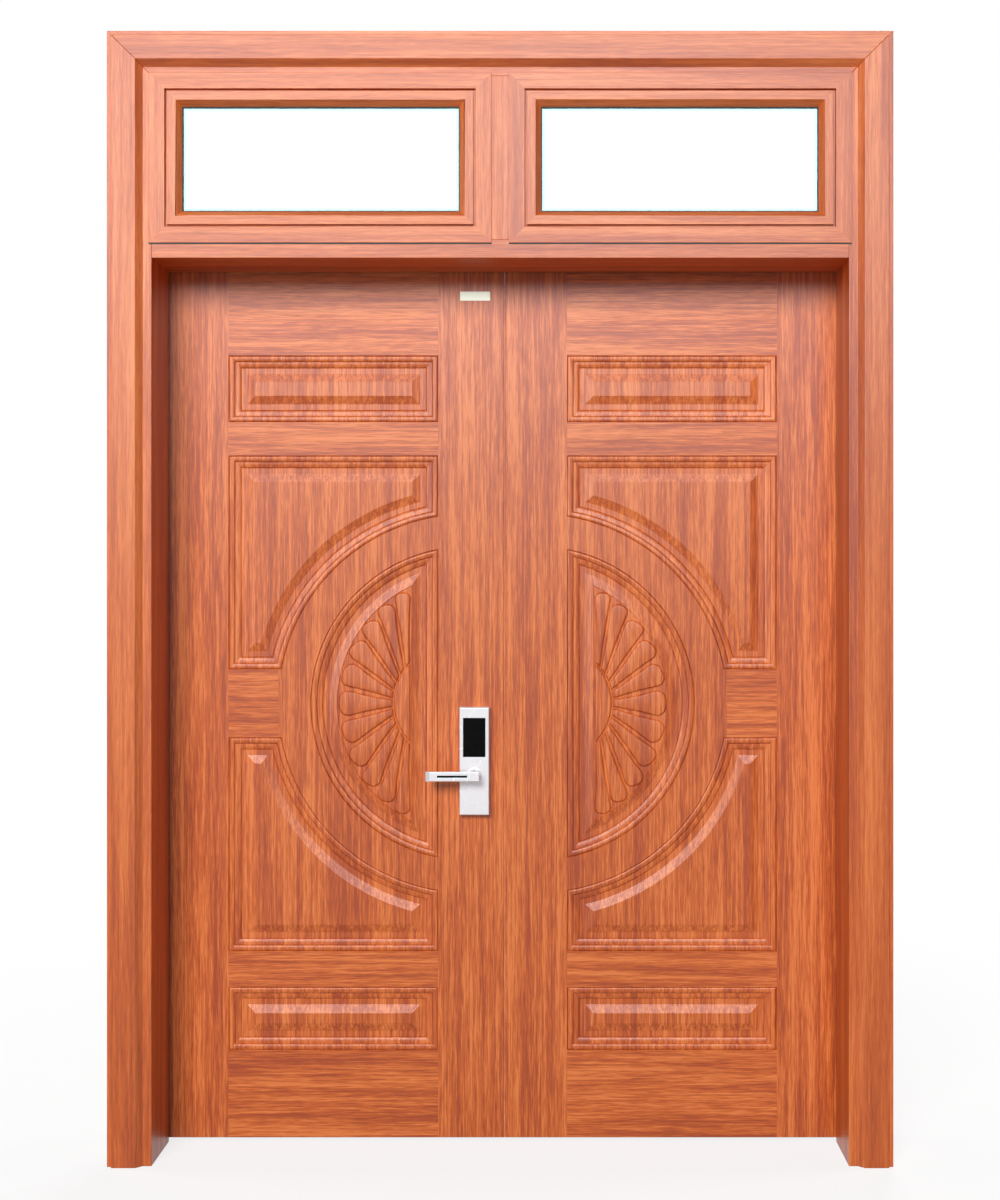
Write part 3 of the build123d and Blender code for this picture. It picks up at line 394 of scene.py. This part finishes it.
def outline(bm, points, y, arc=None):
    """Closed outline through points, as its vertices in order. With arc = (centre, turn,
    steps) the way from the last point back to the first is an arc."""
    loop = [bm.verts.new((x, y, z)) for x, z in points]
    for pair in zip(loop, loop[1:]):
        bm.edges.new(pair)
    if arc:
        centre, turn, steps = arc
        known = set(bm.verts)
        bmesh.ops.spin(
            bm,
            geom=[loop[-1]],
            cent=(centre[0], y, centre[1]),
            axis=(0, 1, 0),
            angle=turn * (steps - 1) / steps,
            steps=steps - 1,
        )
        loop += [vert for vert in bm.verts if vert not in known]
    bm.edges.new((loop[-1], loop[0]))
    return loop


def loop_edges(bm, loop):
    return [bm.edges.get(pair) for pair in zip(loop, loop[1:] + loop[:1])]


def corner_panel(low, high):
    """Ring function of a plain panel: its outline at an inset and a depth."""

    def ring(bm, inset, y):
        near, far = -PANEL_NEAR - inset, -PANEL_FAR + inset
        bottom, top = low + inset, high - inset
        return outline(bm, [(near, bottom), (far, bottom), (far, top), (near, top)], y)

    return ring


def scooped_panel(near_z, far_z, way):
    """Ring function of a panel whose corner is scooped out round the half-moon."""

    def ring(bm, inset, y):
        near, far = -PANEL_NEAR - inset, -PANEL_FAR + inset
        start, end = near_z + way * inset, far_z - way * inset
        radius = BIG_ARC_R + inset
        rise = abs(start - ARC_CENTRE.z)
        aside = ARC_CENTRE.x - near
        scoop_x = ARC_CENTRE.x - math.sqrt(radius**2 - rise**2)
        scoop_z = ARC_CENTRE.z + way * math.sqrt(radius**2 - aside**2)
        sweep = math.acos(rise / radius) - math.asin(aside / radius)
        corners = [(scoop_x, start), (far, start), (far, end), (near, end), (near, scoop_z)]
        return outline(bm, corners, y, (ARC_CENTRE.xz, -way * sweep, ARC_STEPS))

    return ring


def segment(centre, chord_x, full_r):
    """Ring function of a circle's segment left of a chord."""

    def ring(bm, inset, y):
        radius = full_r - inset
        aside = centre.x - (chord_x - inset)
        reach = math.sqrt(radius**2 - aside**2)
        ends = [(chord_x - inset, centre.z - reach), (chord_x - inset, centre.z + reach)]
        sweep = math.pi - 2 * math.asin(aside / radius)
        return outline(bm, ends, y, (centre.xz, -sweep, ARC_STEPS))

    return ring


def press(bm, ring, y, profile):
    """Presses a moulding into an outline: each step extrudes the last ring inwards and sets
    it on the outline at its inset. Gives the first and last rings' edges and the last depth."""
    pattern = bmesh.new()
    inset = 0.0
    loop = ring(bm, inset, y)
    first = edges = loop_edges(bm, loop)
    for width, rise in profile:
        inset, y = inset + width, y - rise
        pattern.clear()
        places = [vert.co.copy() for vert in ring(pattern, inset, y)]
        made = set(bmesh.ops.extrude_edge_only(bm, edges=edges)["geom"])
        loop = [
            next(edge.other_vert(vert) for edge in vert.link_edges if edge.other_vert(vert) in made)
            for vert in loop
        ]
        for vert, place in zip(loop, places):
            vert.co = place
        edges = loop_edges(bm, loop)
    pattern.free()
    return first, edges, y


# Rosette: on a ground a step below the field's edge, a hub cut off by the chord and a fan of
# petals with blunt round tips, wider in the middle of the fan, each with a domed face.
ROSETTE_STEP = (0.0012, -0.0022)
HUB_X = 0.131
HUB_R = 0.131
PETALS_EACH_SIDE = 5
ROOT_STEP = math.radians(8.6)
TIP_STEP = math.radians(14.9)
TIP_CLOSING = math.radians(0.6)
PETAL_GAP = 0.0015
PETAL_TIP_LEN = 0.015
PETAL_END_DROP = 0.003
SHOULDER_SHARE = 0.75
FLANK_HOLLOW = 0.0022
FLANK_POINTS = 8
FLANK_END_SHARE = 0.78
RIM_GAP = 0.0020
PETAL_DOME = [(0.0010, 0.0008), (0.0022, 0.0026), (0.0015, 0.0008), (0.0026, 0.0003)]
HUB_DOME = [(0.0010, 0.0008), (0.0020, 0.0022), (0.0015, 0.0006), (0.0060, 0.0002)]


def petal_face(bm, step, y):
    """Flat petal from the hub to the edge of the field."""

    def on_circle(centre_x, radius, turn):
        return Vector((centre_x - radius * math.cos(turn), ARC_CENTRE.z + radius * math.sin(turn)))

    root_r = HUB_R + RIM_GAP
    tip_r = MOON_R - FIELD_INSET - ROSETTE_STEP[0] - RIM_GAP
    spread = ROOT_STEP / 2 - PETAL_GAP / 2 / root_r
    root, *root_corners = [
        on_circle(-HUB_X, root_r, step * ROOT_STEP + turn) for turn in (0.0, spread, -spread)
    ]
    tip = on_circle(ARC_CENTRE.x, tip_r, step * (TIP_STEP - abs(step) * TIP_CLOSING))
    half = ((TIP_STEP - 2 * abs(step) * TIP_CLOSING) * (tip_r - PETAL_TIP_LEN) - PETAL_GAP) / 2
    along = (tip - root).normalized()
    side = Vector((-along.y, along.x))
    shoulders = [tip - along * PETAL_END_DROP + side * way * half for way in (1, -1)]

    def flank(start, end, inwards):
        """Points from the root to near the shoulder, on a line that is hollow in the middle."""
        shares = [FLANK_END_SHARE * (count + 1) / FLANK_POINTS for count in range(FLANK_POINTS)]
        return [
            start.lerp(end, share) + inwards * FLANK_HOLLOW * math.sin(math.pi * share)
            for share in shares
        ]

    known_faces = set(bm.faces)
    lower = flank(root_corners[1], shoulders[0], -side)
    upper = flank(root_corners[0], shoulders[1], side)
    corners = [*root_corners, *lower, shoulders[0], tip, shoulders[1], *upper[::-1]]
    edges = loop_edges(bm, outline(bm, corners, y))
    (face,) = bmesh.ops.edgeloop_fill(bm, edges=edges)["faces"]
    bmesh.ops.bevel(
        bm,
        geom=[min(face.verts, key=lambda vert: (vert.co.xz - place).length) for place in shoulders],
        offset=SHOULDER_SHARE * half,
        affect="VERTICES",
        segments=7,
        profile=0.5,
        material=-1,
    )
    (face,) = [face for face in bm.faces if face not in known_faces]
    face.normal_update()
    if face.normal.y > 0:
        face.normal_flip()
    return face


def rosette(bm, rim, y):
    """Fills the half-moon's field with a sheet that has the hub and the petals pressed out."""
    chord_x = -PANEL_NEAR - FIELD_INSET - ROSETTE_STEP[0] - RIM_GAP
    centre = Vector((-HUB_X, 0.0, ARC_CENTRE.z))
    hub, top, _ = press(bm, segment(centre, chord_x, HUB_R), y, HUB_DOME)
    bmesh.ops.edgeloop_fill(bm, edges=top)
    steps = range(-PETALS_EACH_SIDE, PETALS_EACH_SIDE + 1)
    petals = [petal_face(bm, step, y) for step in steps]
    outlines = [edge for petal in petals for edge in petal.edges]
    bmesh.ops.triangle_fill(bm, edges=rim + hub + outlines, normal=(0, -1, 0))
    for petal in petals:
        for width, rise in PETAL_DOME:
            bmesh.ops.inset_region(
                bm, faces=[petal], thickness=width, depth=rise, use_even_offset=True
            )


def extrude_rim(bm, rim):
    """Extrudes a rim's edges. Gives the new vertices, and the new edges that join them."""
    made = bmesh.ops.extrude_edge_only(bm, edges=rim)["geom"]
    verts = [item for item in made if isinstance(item, bmesh.types.BMVert)]
    edges = [item for item in made if isinstance(item, bmesh.types.BMEdge)]
    return verts, [edge for edge in edges if all(vert in verts for vert in edge.verts)]


def leaf_pan(meet_x, notches, rod_slot, holes):
    """Outside pan of a left-hand leaf. notches are (low, high, depth) along the meeting edge
    where a lock or bolt plate sits in the fold, rod_slot is the same along the top and bottom
    edges for a flush bolt, and holes are (x, z, half) of the square holes in the face."""
    bm = bmesh.new()
    panels = []
    for x, z, half in holes:
        corners = [(x + a * half, z + b * half) for a, b in ((1, 1), (1, -1), (-1, -1), (-1, 1))]
        panels += loop_edges(bm, outline(bm, corners, LEAF_FRONT))
    for ring in (
        corner_panel(*FOOT_PANEL),
        corner_panel(*HEAD_PANEL),
        scooped_panel(UPPER_PANEL[0], UPPER_PANEL[1], 1),
        scooped_panel(LOWER_PANEL[1], LOWER_PANEL[0], -1),
    ):
        first, last, _ = press(bm, ring, LEAF_FRONT, MOULDING)
        bmesh.ops.edgeloop_fill(bm, edges=last)
        panels += first
    moon = segment(ARC_CENTRE, -PANEL_NEAR, MOON_R)
    first, last, depth = press(bm, moon, LEAF_FRONT, [*MOULDING, ROSETTE_STEP])
    rosette(bm, last, depth)
    panels += first
    near = meet_x - FOLD_R
    far = -LEAF_EDGE + FOLD_R
    low, high = LEAF_Z[0] + FOLD_R, LEAF_Z[1] - FOLD_R
    stops = [z for notch in notches for z in notch[:2]]
    slot_ends = rod_slot[:2]
    corners = [(near, z) for z in sorted([low, high] + stops)]
    corners += [(x, high) for x in (*slot_ends[::-1], far)]
    corners += [(x, low) for x in (far, *slot_ends)]
    rim = loop_edges(bm, outline(bm, corners, LEAF_FRONT))
    bmesh.ops.triangle_fill(bm, edges=rim + panels, normal=(0, -1, 0))
    folded, edges = extrude_rim(bm, rim)
    middle = Vector(((near + far) / 2, 0.0, (low + high) / 2))
    for vert in folded:
        away = vert.co - middle
        if abs(abs(away.x) - (near - far) / 2) < FOLD_R / 10:
            vert.co.x += math.copysign(FOLD_R, away.x)
        if abs(abs(away.z) - (high - low) / 2) < FOLD_R / 10:
            vert.co.z += math.copysign(FOLD_R, away.z)
        vert.co.y += FOLD_R
    depths = {}
    for edge in edges:
        place = (edge.verts[0].co + edge.verts[1].co) / 2
        depth = PAN_DEPTH
        for notch_low, notch_high, notch_depth in notches:
            if notch_low < place.z < notch_high and abs(place.x - meet_x) < FOLD_R:
                depth = notch_depth
        if rod_slot and rod_slot[0] < place.x < rod_slot[1]:
            depth = rod_slot[2]
        depths.setdefault(depth, []).append(edge)
    for depth, walls in depths.items():
        drawn, _ = extrude_rim(bm, walls)
        bmesh.ops.translate(bm, verts=drawn, vec=(0.0, depth - FOLD_R, 0.0))
    bmesh.ops.recalc_face_normals(bm, faces=bm.faces[:])
    bm.normal_update()
    if sum(face.normal.y * face.calc_area() for face in bm.faces) > 0:
        bmesh.ops.reverse_faces(bm, faces=bm.faces[:])
    return bm


SHORT_RAIL_W = 0.12
BELOW_LEAF = 0.0
ABOVE_LEAF = 2.2


def leaf_rails(tree, coords):
    """Mask of the rails between the panels and of the short rail beside the half-moon."""
    split = add(tree, "ShaderNodeSeparateXYZ")
    tree.links.new(coords, split.inputs["Vector"])
    aside = math_node(tree, "ABSOLUTE", split.outputs["X"])
    column = math_node(
        tree, "COMPARE", aside, (PANEL_FAR + PANEL_NEAR) / 2, (PANEL_FAR - PANEL_NEAR) / 2
    )
    short = SHORT_RAIL_W / 2
    beside = math_node(tree, "COMPARE", aside, PANEL_FAR - short, short)
    whole = None
    for low, high, width in (
        (BELOW_LEAF, FOOT_PANEL[0], column),
        (FOOT_PANEL[1], LOWER_PANEL[0], column),
        (LOWER_PANEL[1], UPPER_PANEL[0], beside),
        (UPPER_PANEL[1], HEAD_PANEL[0], column),
        (HEAD_PANEL[1], ABOVE_LEAF, column),
    ):
        rail = math_node(tree, "COMPARE", split.outputs["Z"], (low + high) / 2, (high - low) / 2)
        rail = math_node(tree, "MULTIPLY", rail, width)
        whole = rail if whole is None else math_node(tree, "ADD", whole, rail)
    return whole


LEAF_FIBRE = 1.1
leaf_wood = wood_finish("wood_leaf", LEAF_FIBRE, rails=leaf_rails)
FOREND = [(0.785, 1.025, 0.013)]
EDGE_PLATES = [(0.228, 0.388, 0.015), (0.795, 1.015, 0.013), (1.712, 1.872, 0.015)]
ROD_SLOT = (-0.0258, -0.0162, 0.0202)
SPINDLE_HOLE = (-0.067, 0.880, 0.007)
TAILPIECE_HOLE = (-0.067, 0.955, 0.0045)
LEFT_MEET_X = 0.003
RIGHT_MEET_X = 0.007
CREASE = math.radians(11)
flip_sides = Matrix.Diagonal((-1.0, 1.0, 1.0, 1.0))
flip_depth = Matrix.Diagonal((1.0, -1.0, 1.0, 1.0))
flip_faces = Matrix.Translation((0.0, 2 * LEAF_MIDDLE, 0.0)) @ flip_depth
for side, face, meet_x, notches, rod_slot, holes in (
    ("left", "front", LEFT_MEET_X, FOREND, (), [SPINDLE_HOLE]),
    ("left", "back", LEFT_MEET_X, FOREND, (), [SPINDLE_HOLE, TAILPIECE_HOLE]),
    ("right", "front", -RIGHT_MEET_X, EDGE_PLATES, ROD_SLOT, []),
    ("right", "back", -RIGHT_MEET_X, EDGE_PLATES, ROD_SLOT, []),
):
    place = Matrix() if side == "left" else flip_sides
    place = place if face == "front" else flip_faces @ place
    body = "active_leaf" if side == "left" else "passive_leaf"
    pan = leaf_pan(meet_x, notches, rod_slot, holes)
    bmesh.ops.transform(pan, matrix=place, verts=pan.verts[:])
    if place.determinant() < 0:
        bmesh.ops.reverse_faces(pan, faces=pan.faces[:])
    for polygon in pan.faces:
        polygon.smooth = True
    pan.edges.index_update()
    sheet_edges = [edge.index for edge in pan.edges if edge.is_boundary]
    skin = new_piece(f"{side}_{face}_pan", pan, body, leaf_wood)
    skin.data.set_sharp_from_angle(angle=CREASE)
    for index in sheet_edges:
        skin.data.edges[index].use_edge_sharp = True
    sheet = skin.modifiers.new("sheet", "SOLIDIFY")
    sheet.thickness = SHEET_T
    sheet.offset = -1.0
    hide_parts(f"{side}_leaf_{face}_skin")


# Meeting lips. A narrow strip of the leaf's own wood-grain sheet is fixed along the front of
# each meeting edge; the two strips close the gap and pass each other when one leaf opens.
LIP_SET_BACK = 0.0012
LIP_T = 0.0020
LIP_EDGE = 0.0003
ACTIVE_TIP_X = 0.0050
PASSIVE_TIP_X = 0.0052
LIP_Y = (LEAF_FRONT + LIP_SET_BACK, LEAF_FRONT + LIP_SET_BACK + LIP_T)
for name, body, near, tip in (
    ("active_meeting_lip", "active_leaf", LEFT_MEET_X, ACTIVE_TIP_X),
    ("passive_meeting_lip", "passive_leaf", RIGHT_MEET_X, PASSIVE_TIP_X),
):
    low, high = sorted((near, tip))
    lip = eased_block((low, LIP_Y[0], LEAF_Z[0]), (high, LIP_Y[1], LEAF_Z[1]), LIP_EDGE)
    new_piece(name, lip, body, leaf_wood)


# Inside the leaves. A ring of galvanised steel channel, welded at the corners, stiffens each
# leaf, and a block of paper honeycomb is glued in between its two skins.
galvanised = worked_finish(
    "galvanised_steel",
    colours=((0.44, 0.45, 0.47), (0.60, 0.61, 0.63)),
    roughness=(0.35, 0.55),
    stretch=(90.0, 90.0, 90.0),
    metallic=1.0,
)
honeycomb = worked_finish(
    "paper_honeycomb",
    colours=((0.46, 0.34, 0.20), (0.60, 0.47, 0.30)),
    roughness=(0.85, 0.95),
    stretch=(160.0, 160.0, 160.0),
    relief=0.5,
)
dress(["left_leaf_inner_frame", "right_leaf_inner_frame"], galvanised)
dress(["left_leaf_core", "right_leaf_core"], honeycomb)


# Hinges. Three butt hinges of satin brushed steel on each leaf, their plates screwed on in the
# gap and their barrels with riveted pins behind the leaf.
METAL_EDGE = 0.0004
satin_steel = worked_finish(
    "satin_steel",
    colours=((0.50, 0.50, 0.51), (0.60, 0.60, 0.61)),
    roughness=(0.26, 0.38),
    stretch=(900.0, 900.0, 25.0),
    metallic=1.0,
    relief=0.1,
)
for side in ("left", "right"):
    dress([f"{side}_frame_hinge_halves", f"{side}_leaf_hinge_halves"], satin_steel, METAL_EDGE)


# Mortise lock, strike and flush bolts. Zinc-plated steel, let into the meeting edges of the
# leaves; the keeper of the top bolt is screwed up under the transom rail.
BOLT_EDGE = 0.0005
zinc_plate = worked_finish(
    "zinc_plate",
    colours=((0.56, 0.57, 0.60), (0.66, 0.66, 0.66)),
    roughness=(0.28, 0.42),
    stretch=(500.0, 500.0, 60.0),
    metallic=1.0,
    relief=0.1,
)
dress(["lock_case", "lock_follower", "lever_spindle", "dead_bolt_crank", "strike_box"], zinc_plate)
dress(["lock_forend", "strike_plate"], zinc_plate, METAL_EDGE)
dress(["top_bolt_plate", "bottom_bolt_plate", "bolt_keeper"], zinc_plate, METAL_EDGE)
dress(["latch_bolt", "dead_bolt", "top_flush_bolt", "bottom_flush_bolt"], zinc_plate, BOLT_EDGE)


# Screws. Countersunk steel screws hold the hinge plates, the forend, the strike and the bolt
# plates; only their low heads with a cross recess show.
SCREW_R = 0.0036
SCREW_SIDES = 20
SCREW_RISE = 0.0003
CROSS_LONG = 0.0020
CROSS_HALF = 0.0005
CROSS_DEPTH = 0.00025
screw_steel = worked_finish(
    "screw_steel",
    colours=((0.34, 0.34, 0.35), (0.44, 0.44, 0.45)),
    roughness=(0.3, 0.4),
    stretch=(900.0, 900.0, 900.0),
    metallic=1.0,
)


def screw_head():
    """Low round head with a cross recess that faces -Y, on a plate whose face is at Y = 0."""
    bm = bmesh.new()
    upright = Matrix.Rotation(math.radians(90), 4, "X")
    bmesh.ops.create_circle(bm, segments=SCREW_SIDES, radius=SCREW_R, matrix=upright)
    foot = bm.edges[:]
    verts, edges = extrude_rim(bm, foot)
    for vert in verts:
        vert.co = vert.co * (1 - SCREW_RISE / SCREW_R) - Vector((0.0, SCREW_RISE, 0.0))
    arm = [(CROSS_HALF, CROSS_HALF), (CROSS_HALF, CROSS_LONG), (-CROSS_HALF, CROSS_LONG)]
    cross = []
    for turn in range(4):
        quarter = Matrix.Rotation(math.radians(90) * turn, 2)
        cross += [tuple(quarter @ Vector(point)) for point in arm]
    recess = loop_edges(bm, outline(bm, cross, -SCREW_RISE))
    bmesh.ops.triangle_fill(bm, edges=edges + recess, normal=(0, -1, 0))
    verts, edges = extrude_rim(bm, recess)
    bmesh.ops.translate(bm, verts=verts, vec=(0.0, CROSS_DEPTH, 0.0))
    bmesh.ops.triangle_fill(bm, edges=edges, normal=(0, -1, 0))
    bmesh.ops.edgeloop_fill(bm, edges=foot)
    bmesh.ops.recalc_face_normals(bm, faces=bm.faces[:])
    return bm


def screws(name, places, turn, body):
    """A group of screws at points on a plate, turned from -Y to the way the plate faces."""
    whole = bmesh.new()
    head = bpy.data.meshes.new("screw_head")
    one = screw_head()
    one.to_mesh(head)
    one.free()
    for place in places:
        known = set(whole.verts)
        whole.from_mesh(head)
        made = [vert for vert in whole.verts if vert not in known]
        bmesh.ops.transform(whole, matrix=Matrix.Translation(place) @ turn, verts=made)
    bpy.data.meshes.remove(head)
    new_piece(name, whole, body, screw_steel)


FACE_RIGHT = Matrix.Rotation(math.radians(90), 4, "Z")
FACE_LEFT = Matrix.Rotation(math.radians(-90), 4, "Z")
FACE_DOWN = Matrix.Rotation(math.radians(90), 4, "X")
HINGE_ZS = (0.25808, 1.05, 1.84192)
HINGE_SCREWS = [(0.079, 0.042), (0.063, 0.015), (0.063, -0.015), (0.079, -0.042)]
FRAME_PLATE_X = 0.8115
LEAF_PLATE_X = 0.8105
for side, way in (("left", -1), ("right", 1)):
    places = [(y, z + lift) for z in HINGE_ZS for y, lift in HINGE_SCREWS]
    inwards, outwards = (FACE_RIGHT, FACE_LEFT) if way < 0 else (FACE_LEFT, FACE_RIGHT)
    leaf_body = "active_leaf" if way < 0 else "passive_leaf"
    screws(
        f"{side}_frame_hinge_screws",
        [(way * FRAME_PLATE_X, y, z) for y, z in places],
        inwards,
        "frame",
    )
    screws(
        f"{side}_leaf_hinge_screws",
        [(way * LEAF_PLATE_X, y, z) for y, z in places],
        outwards,
        leaf_body,
    )
SCREW_MARGIN = 0.007
KEEPER_SCREW_GAP = 0.018
for plate, body in (
    ("lock_forend", "active_leaf"),
    ("strike_plate", "passive_leaf"),
    ("top_bolt_plate", "passive_leaf"),
    ("bottom_bolt_plate", "passive_leaf"),
):
    low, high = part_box(plate)
    face_x = high.x if body == "active_leaf" else low.x
    screws(
        f"{plate}_screws",
        [(face_x, LEAF_MIDDLE, z) for z in (low.z + SCREW_MARGIN, high.z - SCREW_MARGIN)],
        FACE_RIGHT if body == "active_leaf" else FACE_LEFT,
        body,
    )
low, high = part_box("bolt_keeper")
screws(
    "bolt_keeper_screws",
    [(high.x - SCREW_MARGIN - gap, LEAF_MIDDLE, low.z) for gap in (0.0, KEEPER_SCREW_GAP)],
    FACE_DOWN,
    "frame",
)


# Lock furniture. Cast cases with a pearl nickel finish, a black glass reader pane outside, a
# battery cover and thumbturn inside, and flat levers; the outside one has a black inlay.
CAST_EDGE = 0.0006
pearl_nickel = worked_finish(
    "pearl_nickel",
    colours=((0.80, 0.77, 0.79), (0.82, 0.79, 0.81)),
    roughness=(0.25, 0.28),
    stretch=(60.0, 60.0, 40.0),
    metallic=0.35,
)
black_glass = worked_finish(
    "black_glass",
    colours=((0.002, 0.002, 0.002), (0.004, 0.004, 0.004)),
    roughness=(0.05, 0.09),
    stretch=(60.0, 60.0, 60.0),
)
black_glass.node_tree.nodes["Principled BSDF"].inputs["Specular IOR Level"].default_value = 0.05
black_cover = worked_finish(
    "black_cover",
    colours=((0.024, 0.024, 0.026), (0.036, 0.036, 0.038)),
    roughness=(0.36, 0.5),
    stretch=(1400.0, 1400.0, 1400.0),
    relief=0.4,
)
dress(["outside_escutcheon", "inside_escutcheon"], pearl_nickel, CAST_EDGE)
dress(["outside_lever", "inside_lever", "thumbturn"], pearl_nickel, CAST_EDGE)
dress(["reader_pane", "lever_inlay"], black_glass)
dress(["battery_cover"], black_cover, METAL_EDGE)


# Painted shade on the free end of the outside lever. A thin grey sleeve pressed over the end
# of the bar stands in for the shade on its chamfered end.
END_SHADE_LEN = 0.009
END_SHADE_T = 0.0002
END_SHADE_HALF_H = 0.0117
BAR_T = 0.012
# Grey of the sleeve: painted shade of the lever's end.
lever_end_shade_grey = worked_finish(
    "lever_end_shade_grey",
    colours=((0.60, 0.57, 0.60), (0.64, 0.61, 0.64)),
    roughness=(0.3, 0.36),
    stretch=(900.0, 900.0, 900.0),
)
bar_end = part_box("outside_lever")[0]
inlay_low, inlay_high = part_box("lever_inlay")
bar_z = (inlay_low.z + inlay_high.z) / 2
end_shade = eased_block(
    (bar_end.x - END_SHADE_T, bar_end.y - END_SHADE_T, bar_z - END_SHADE_HALF_H),
    (bar_end.x + END_SHADE_LEN, inlay_low.y + BAR_T + END_SHADE_T, bar_z + END_SHADE_HALF_H),
    CAST_EDGE,
)
new_piece("outside_lever_end_shade", end_shade, "lever", lever_end_shade_grey)


# Plate at the top of the lock stile. A small bare plate of thin metal with a satin cream
# enamel, stuck on.
PLATE_X = (-0.102, -0.030)
PLATE_Z = (2.0145, 2.0365)
PLATE_T = 0.0012
PLATE_EDGE = 0.0005
cream_enamel = worked_finish(
    "cream_enamel",
    colours=((0.92, 0.85, 0.66), (0.94, 0.88, 0.72)),
    roughness=(0.34, 0.40),
    stretch=(300.0, 300.0, 300.0),
    metallic=0.12,
)
plate = eased_block(
    (PLATE_X[0], LEAF_FRONT - PLATE_T, PLATE_Z[0]),
    (PLATE_X[1], LEAF_FRONT, PLATE_Z[1]),
    PLATE_EDGE,
)
new_piece("stile_plate", plate, "active_leaf", cream_enamel)


# Studio. A pale floor that keeps the shadow fades into a white surround. Softboxes in front,
# behind and at the sides give the shade only, and large cool panels give the lacquer its sheen
# only. The camera stands where the photograph was taken from.
FLOOR_HALF = 30.0
FLOOR_SHADE = (0.85, 0.85, 0.85)
GLOW_SHARE = 0.8
GLOW_FROM, GLOW_FULL = 0.8, 3.5
SURROUND_FILL = 0.025


def seen_by_camera(tree):
    """1 for what the camera sees straight on, through glass or as a reflection."""
    path = add(tree, "ShaderNodeLightPath")
    seen = path.outputs["Is Camera Ray"]
    for ray in ("Is Transmission Ray", "Is Glossy Ray"):
        seen = math_node(tree, "MAXIMUM", seen, path.outputs[ray])
    return seen


white_floor = worked_finish(
    "studio_floor",
    colours=((0.16, 0.16, 0.16), (0.20, 0.20, 0.20)),
    roughness=(0.85, 0.95),
    stretch=(3.0, 3.0, 3.0),
)
tree = white_floor.node_tree
glow = add(tree, "ShaderNodeEmission")
glow.inputs["Strength"].default_value = 1.0
shade = add(tree, "ShaderNodeBsdfDiffuse")
shade.inputs["Color"].default_value = (*FLOOR_SHADE, 1.0)
coords = add(tree, "ShaderNodeTexCoord")
away = add(tree, "ShaderNodeVectorMath", operation="LENGTH")
tree.links.new(coords.outputs["Object"], away.inputs[0])
fade = add(tree, "ShaderNodeMapRange", interpolation_type="SMOOTHSTEP")
fade.inputs["From Min"].default_value = GLOW_FROM
fade.inputs["From Max"].default_value = GLOW_FULL
fade.inputs["To Min"].default_value = GLOW_SHARE
tree.links.new(away.outputs["Value"], fade.inputs["Value"])
pale = add(tree, "ShaderNodeMixShader")
tree.links.new(fade.outputs["Result"], pale.inputs["Fac"])
tree.links.new(shade.outputs["BSDF"], pale.inputs[1])
tree.links.new(glow.outputs["Emission"], pale.inputs[2])
mix = add(tree, "ShaderNodeMixShader")
tree.links.new(seen_by_camera(tree), mix.inputs["Fac"])
tree.links.new(tree.nodes["Principled BSDF"].outputs["BSDF"], mix.inputs[1])
tree.links.new(pale.outputs["Shader"], mix.inputs[2])
tree.links.new(mix.outputs["Shader"], tree.nodes["Material Output"].inputs["Surface"])
bm = bmesh.new()
bmesh.ops.create_grid(bm, x_segments=1, y_segments=1, size=FLOOR_HALF)
mesh = bpy.data.meshes.new("studio_floor")
bm.to_mesh(mesh)
bm.free()
mesh.materials.append(white_floor)
floor = bpy.data.objects.new("studio_floor", mesh)
bpy.context.scene.collection.objects.link(floor)

world = bpy.data.worlds.new("studio_surround")
bpy.context.scene.world = world
world.use_nodes = True
tree = world.node_tree
surround = tree.nodes["Background"]
surround.inputs["Color"].default_value = (1.0, 1.0, 1.0, 1.0)
level = add(tree, "ShaderNodeMapRange")
level.inputs["To Min"].default_value = SURROUND_FILL
level.inputs["To Max"].default_value = 1.0
tree.links.new(seen_by_camera(tree), level.inputs["Value"])
tree.links.new(level.outputs["Result"], surround.inputs["Strength"])


def softbox(name, place, target, size, power):
    """Rectangular area lamp that only shows by its light, aimed from a place at a target."""
    lamp = bpy.data.lights.new(name, "AREA")
    lamp.shape = "RECTANGLE"
    lamp.size, lamp.size_y = size
    lamp.energy = power
    light = bpy.data.objects.new(name, lamp)
    light.location = place
    light.rotation_euler = (Vector(target) - Vector(place)).to_track_quat("-Z", "Y").to_euler()
    light.visible_camera = False
    light.visible_transmission = False
    bpy.context.scene.collection.objects.link(light)
    return light


DOOR_MIDDLE = (0.0, 0.0, 1.3)
SIDE_MIDDLE = (0.0, 0.3, 1.3)
SHEEN_COLOUR = (0.68, 0.92, 1.0)
for lamp in (
    softbox("key_softbox", (-3.2, -14.5, 7.3), DOOR_MIDDLE, (5.6, 5.6), 2480.0),
    softbox("back_softbox", (2.5, 10.0, 4.8), DOOR_MIDDLE, (4.0, 4.0), 900.0),
    softbox("left_softbox", (-9.0, 1.5, 3.5), SIDE_MIDDLE, (3.0, 3.0), 420.0),
    softbox("right_softbox", (9.0, 1.5, 3.5), SIDE_MIDDLE, (3.0, 3.0), 420.0),
):
    lamp.visible_glossy = False
for panel in (
    softbox("lacquer_panel", (-1.1, -7.5, 5.05), (-1.1, 0.0, 5.05), (8.6, 4.3), 890.0),
    softbox("side_panel", (-6.3, -6.2, 2.6), (-0.4, 0.0, 1.6), (3.4, 3.8), 220.0),
    softbox("back_panel", (1.1, 7.5, 5.05), (1.1, 0.0, 5.05), (8.6, 4.3), 890.0),
):
    panel.visible_diffuse = False
    panel.data.color = SHEEN_COLOUR

camera = bpy.data.cameras.new("camera")
camera.sensor_fit = "VERTICAL"
camera.sensor_height = 36.0
camera.lens = 52.2
camera.shift_x = -0.0455
camera.shift_y = -0.0042
eye = bpy.data.objects.new("camera", camera)
eye.location = (0.1246, -4.132, 1.309)
eye.rotation_euler = (math.radians(90), 0.0, 0.0)
bpy.context.scene.collection.objects.link(eye)
bpy.context.scene.camera = eye
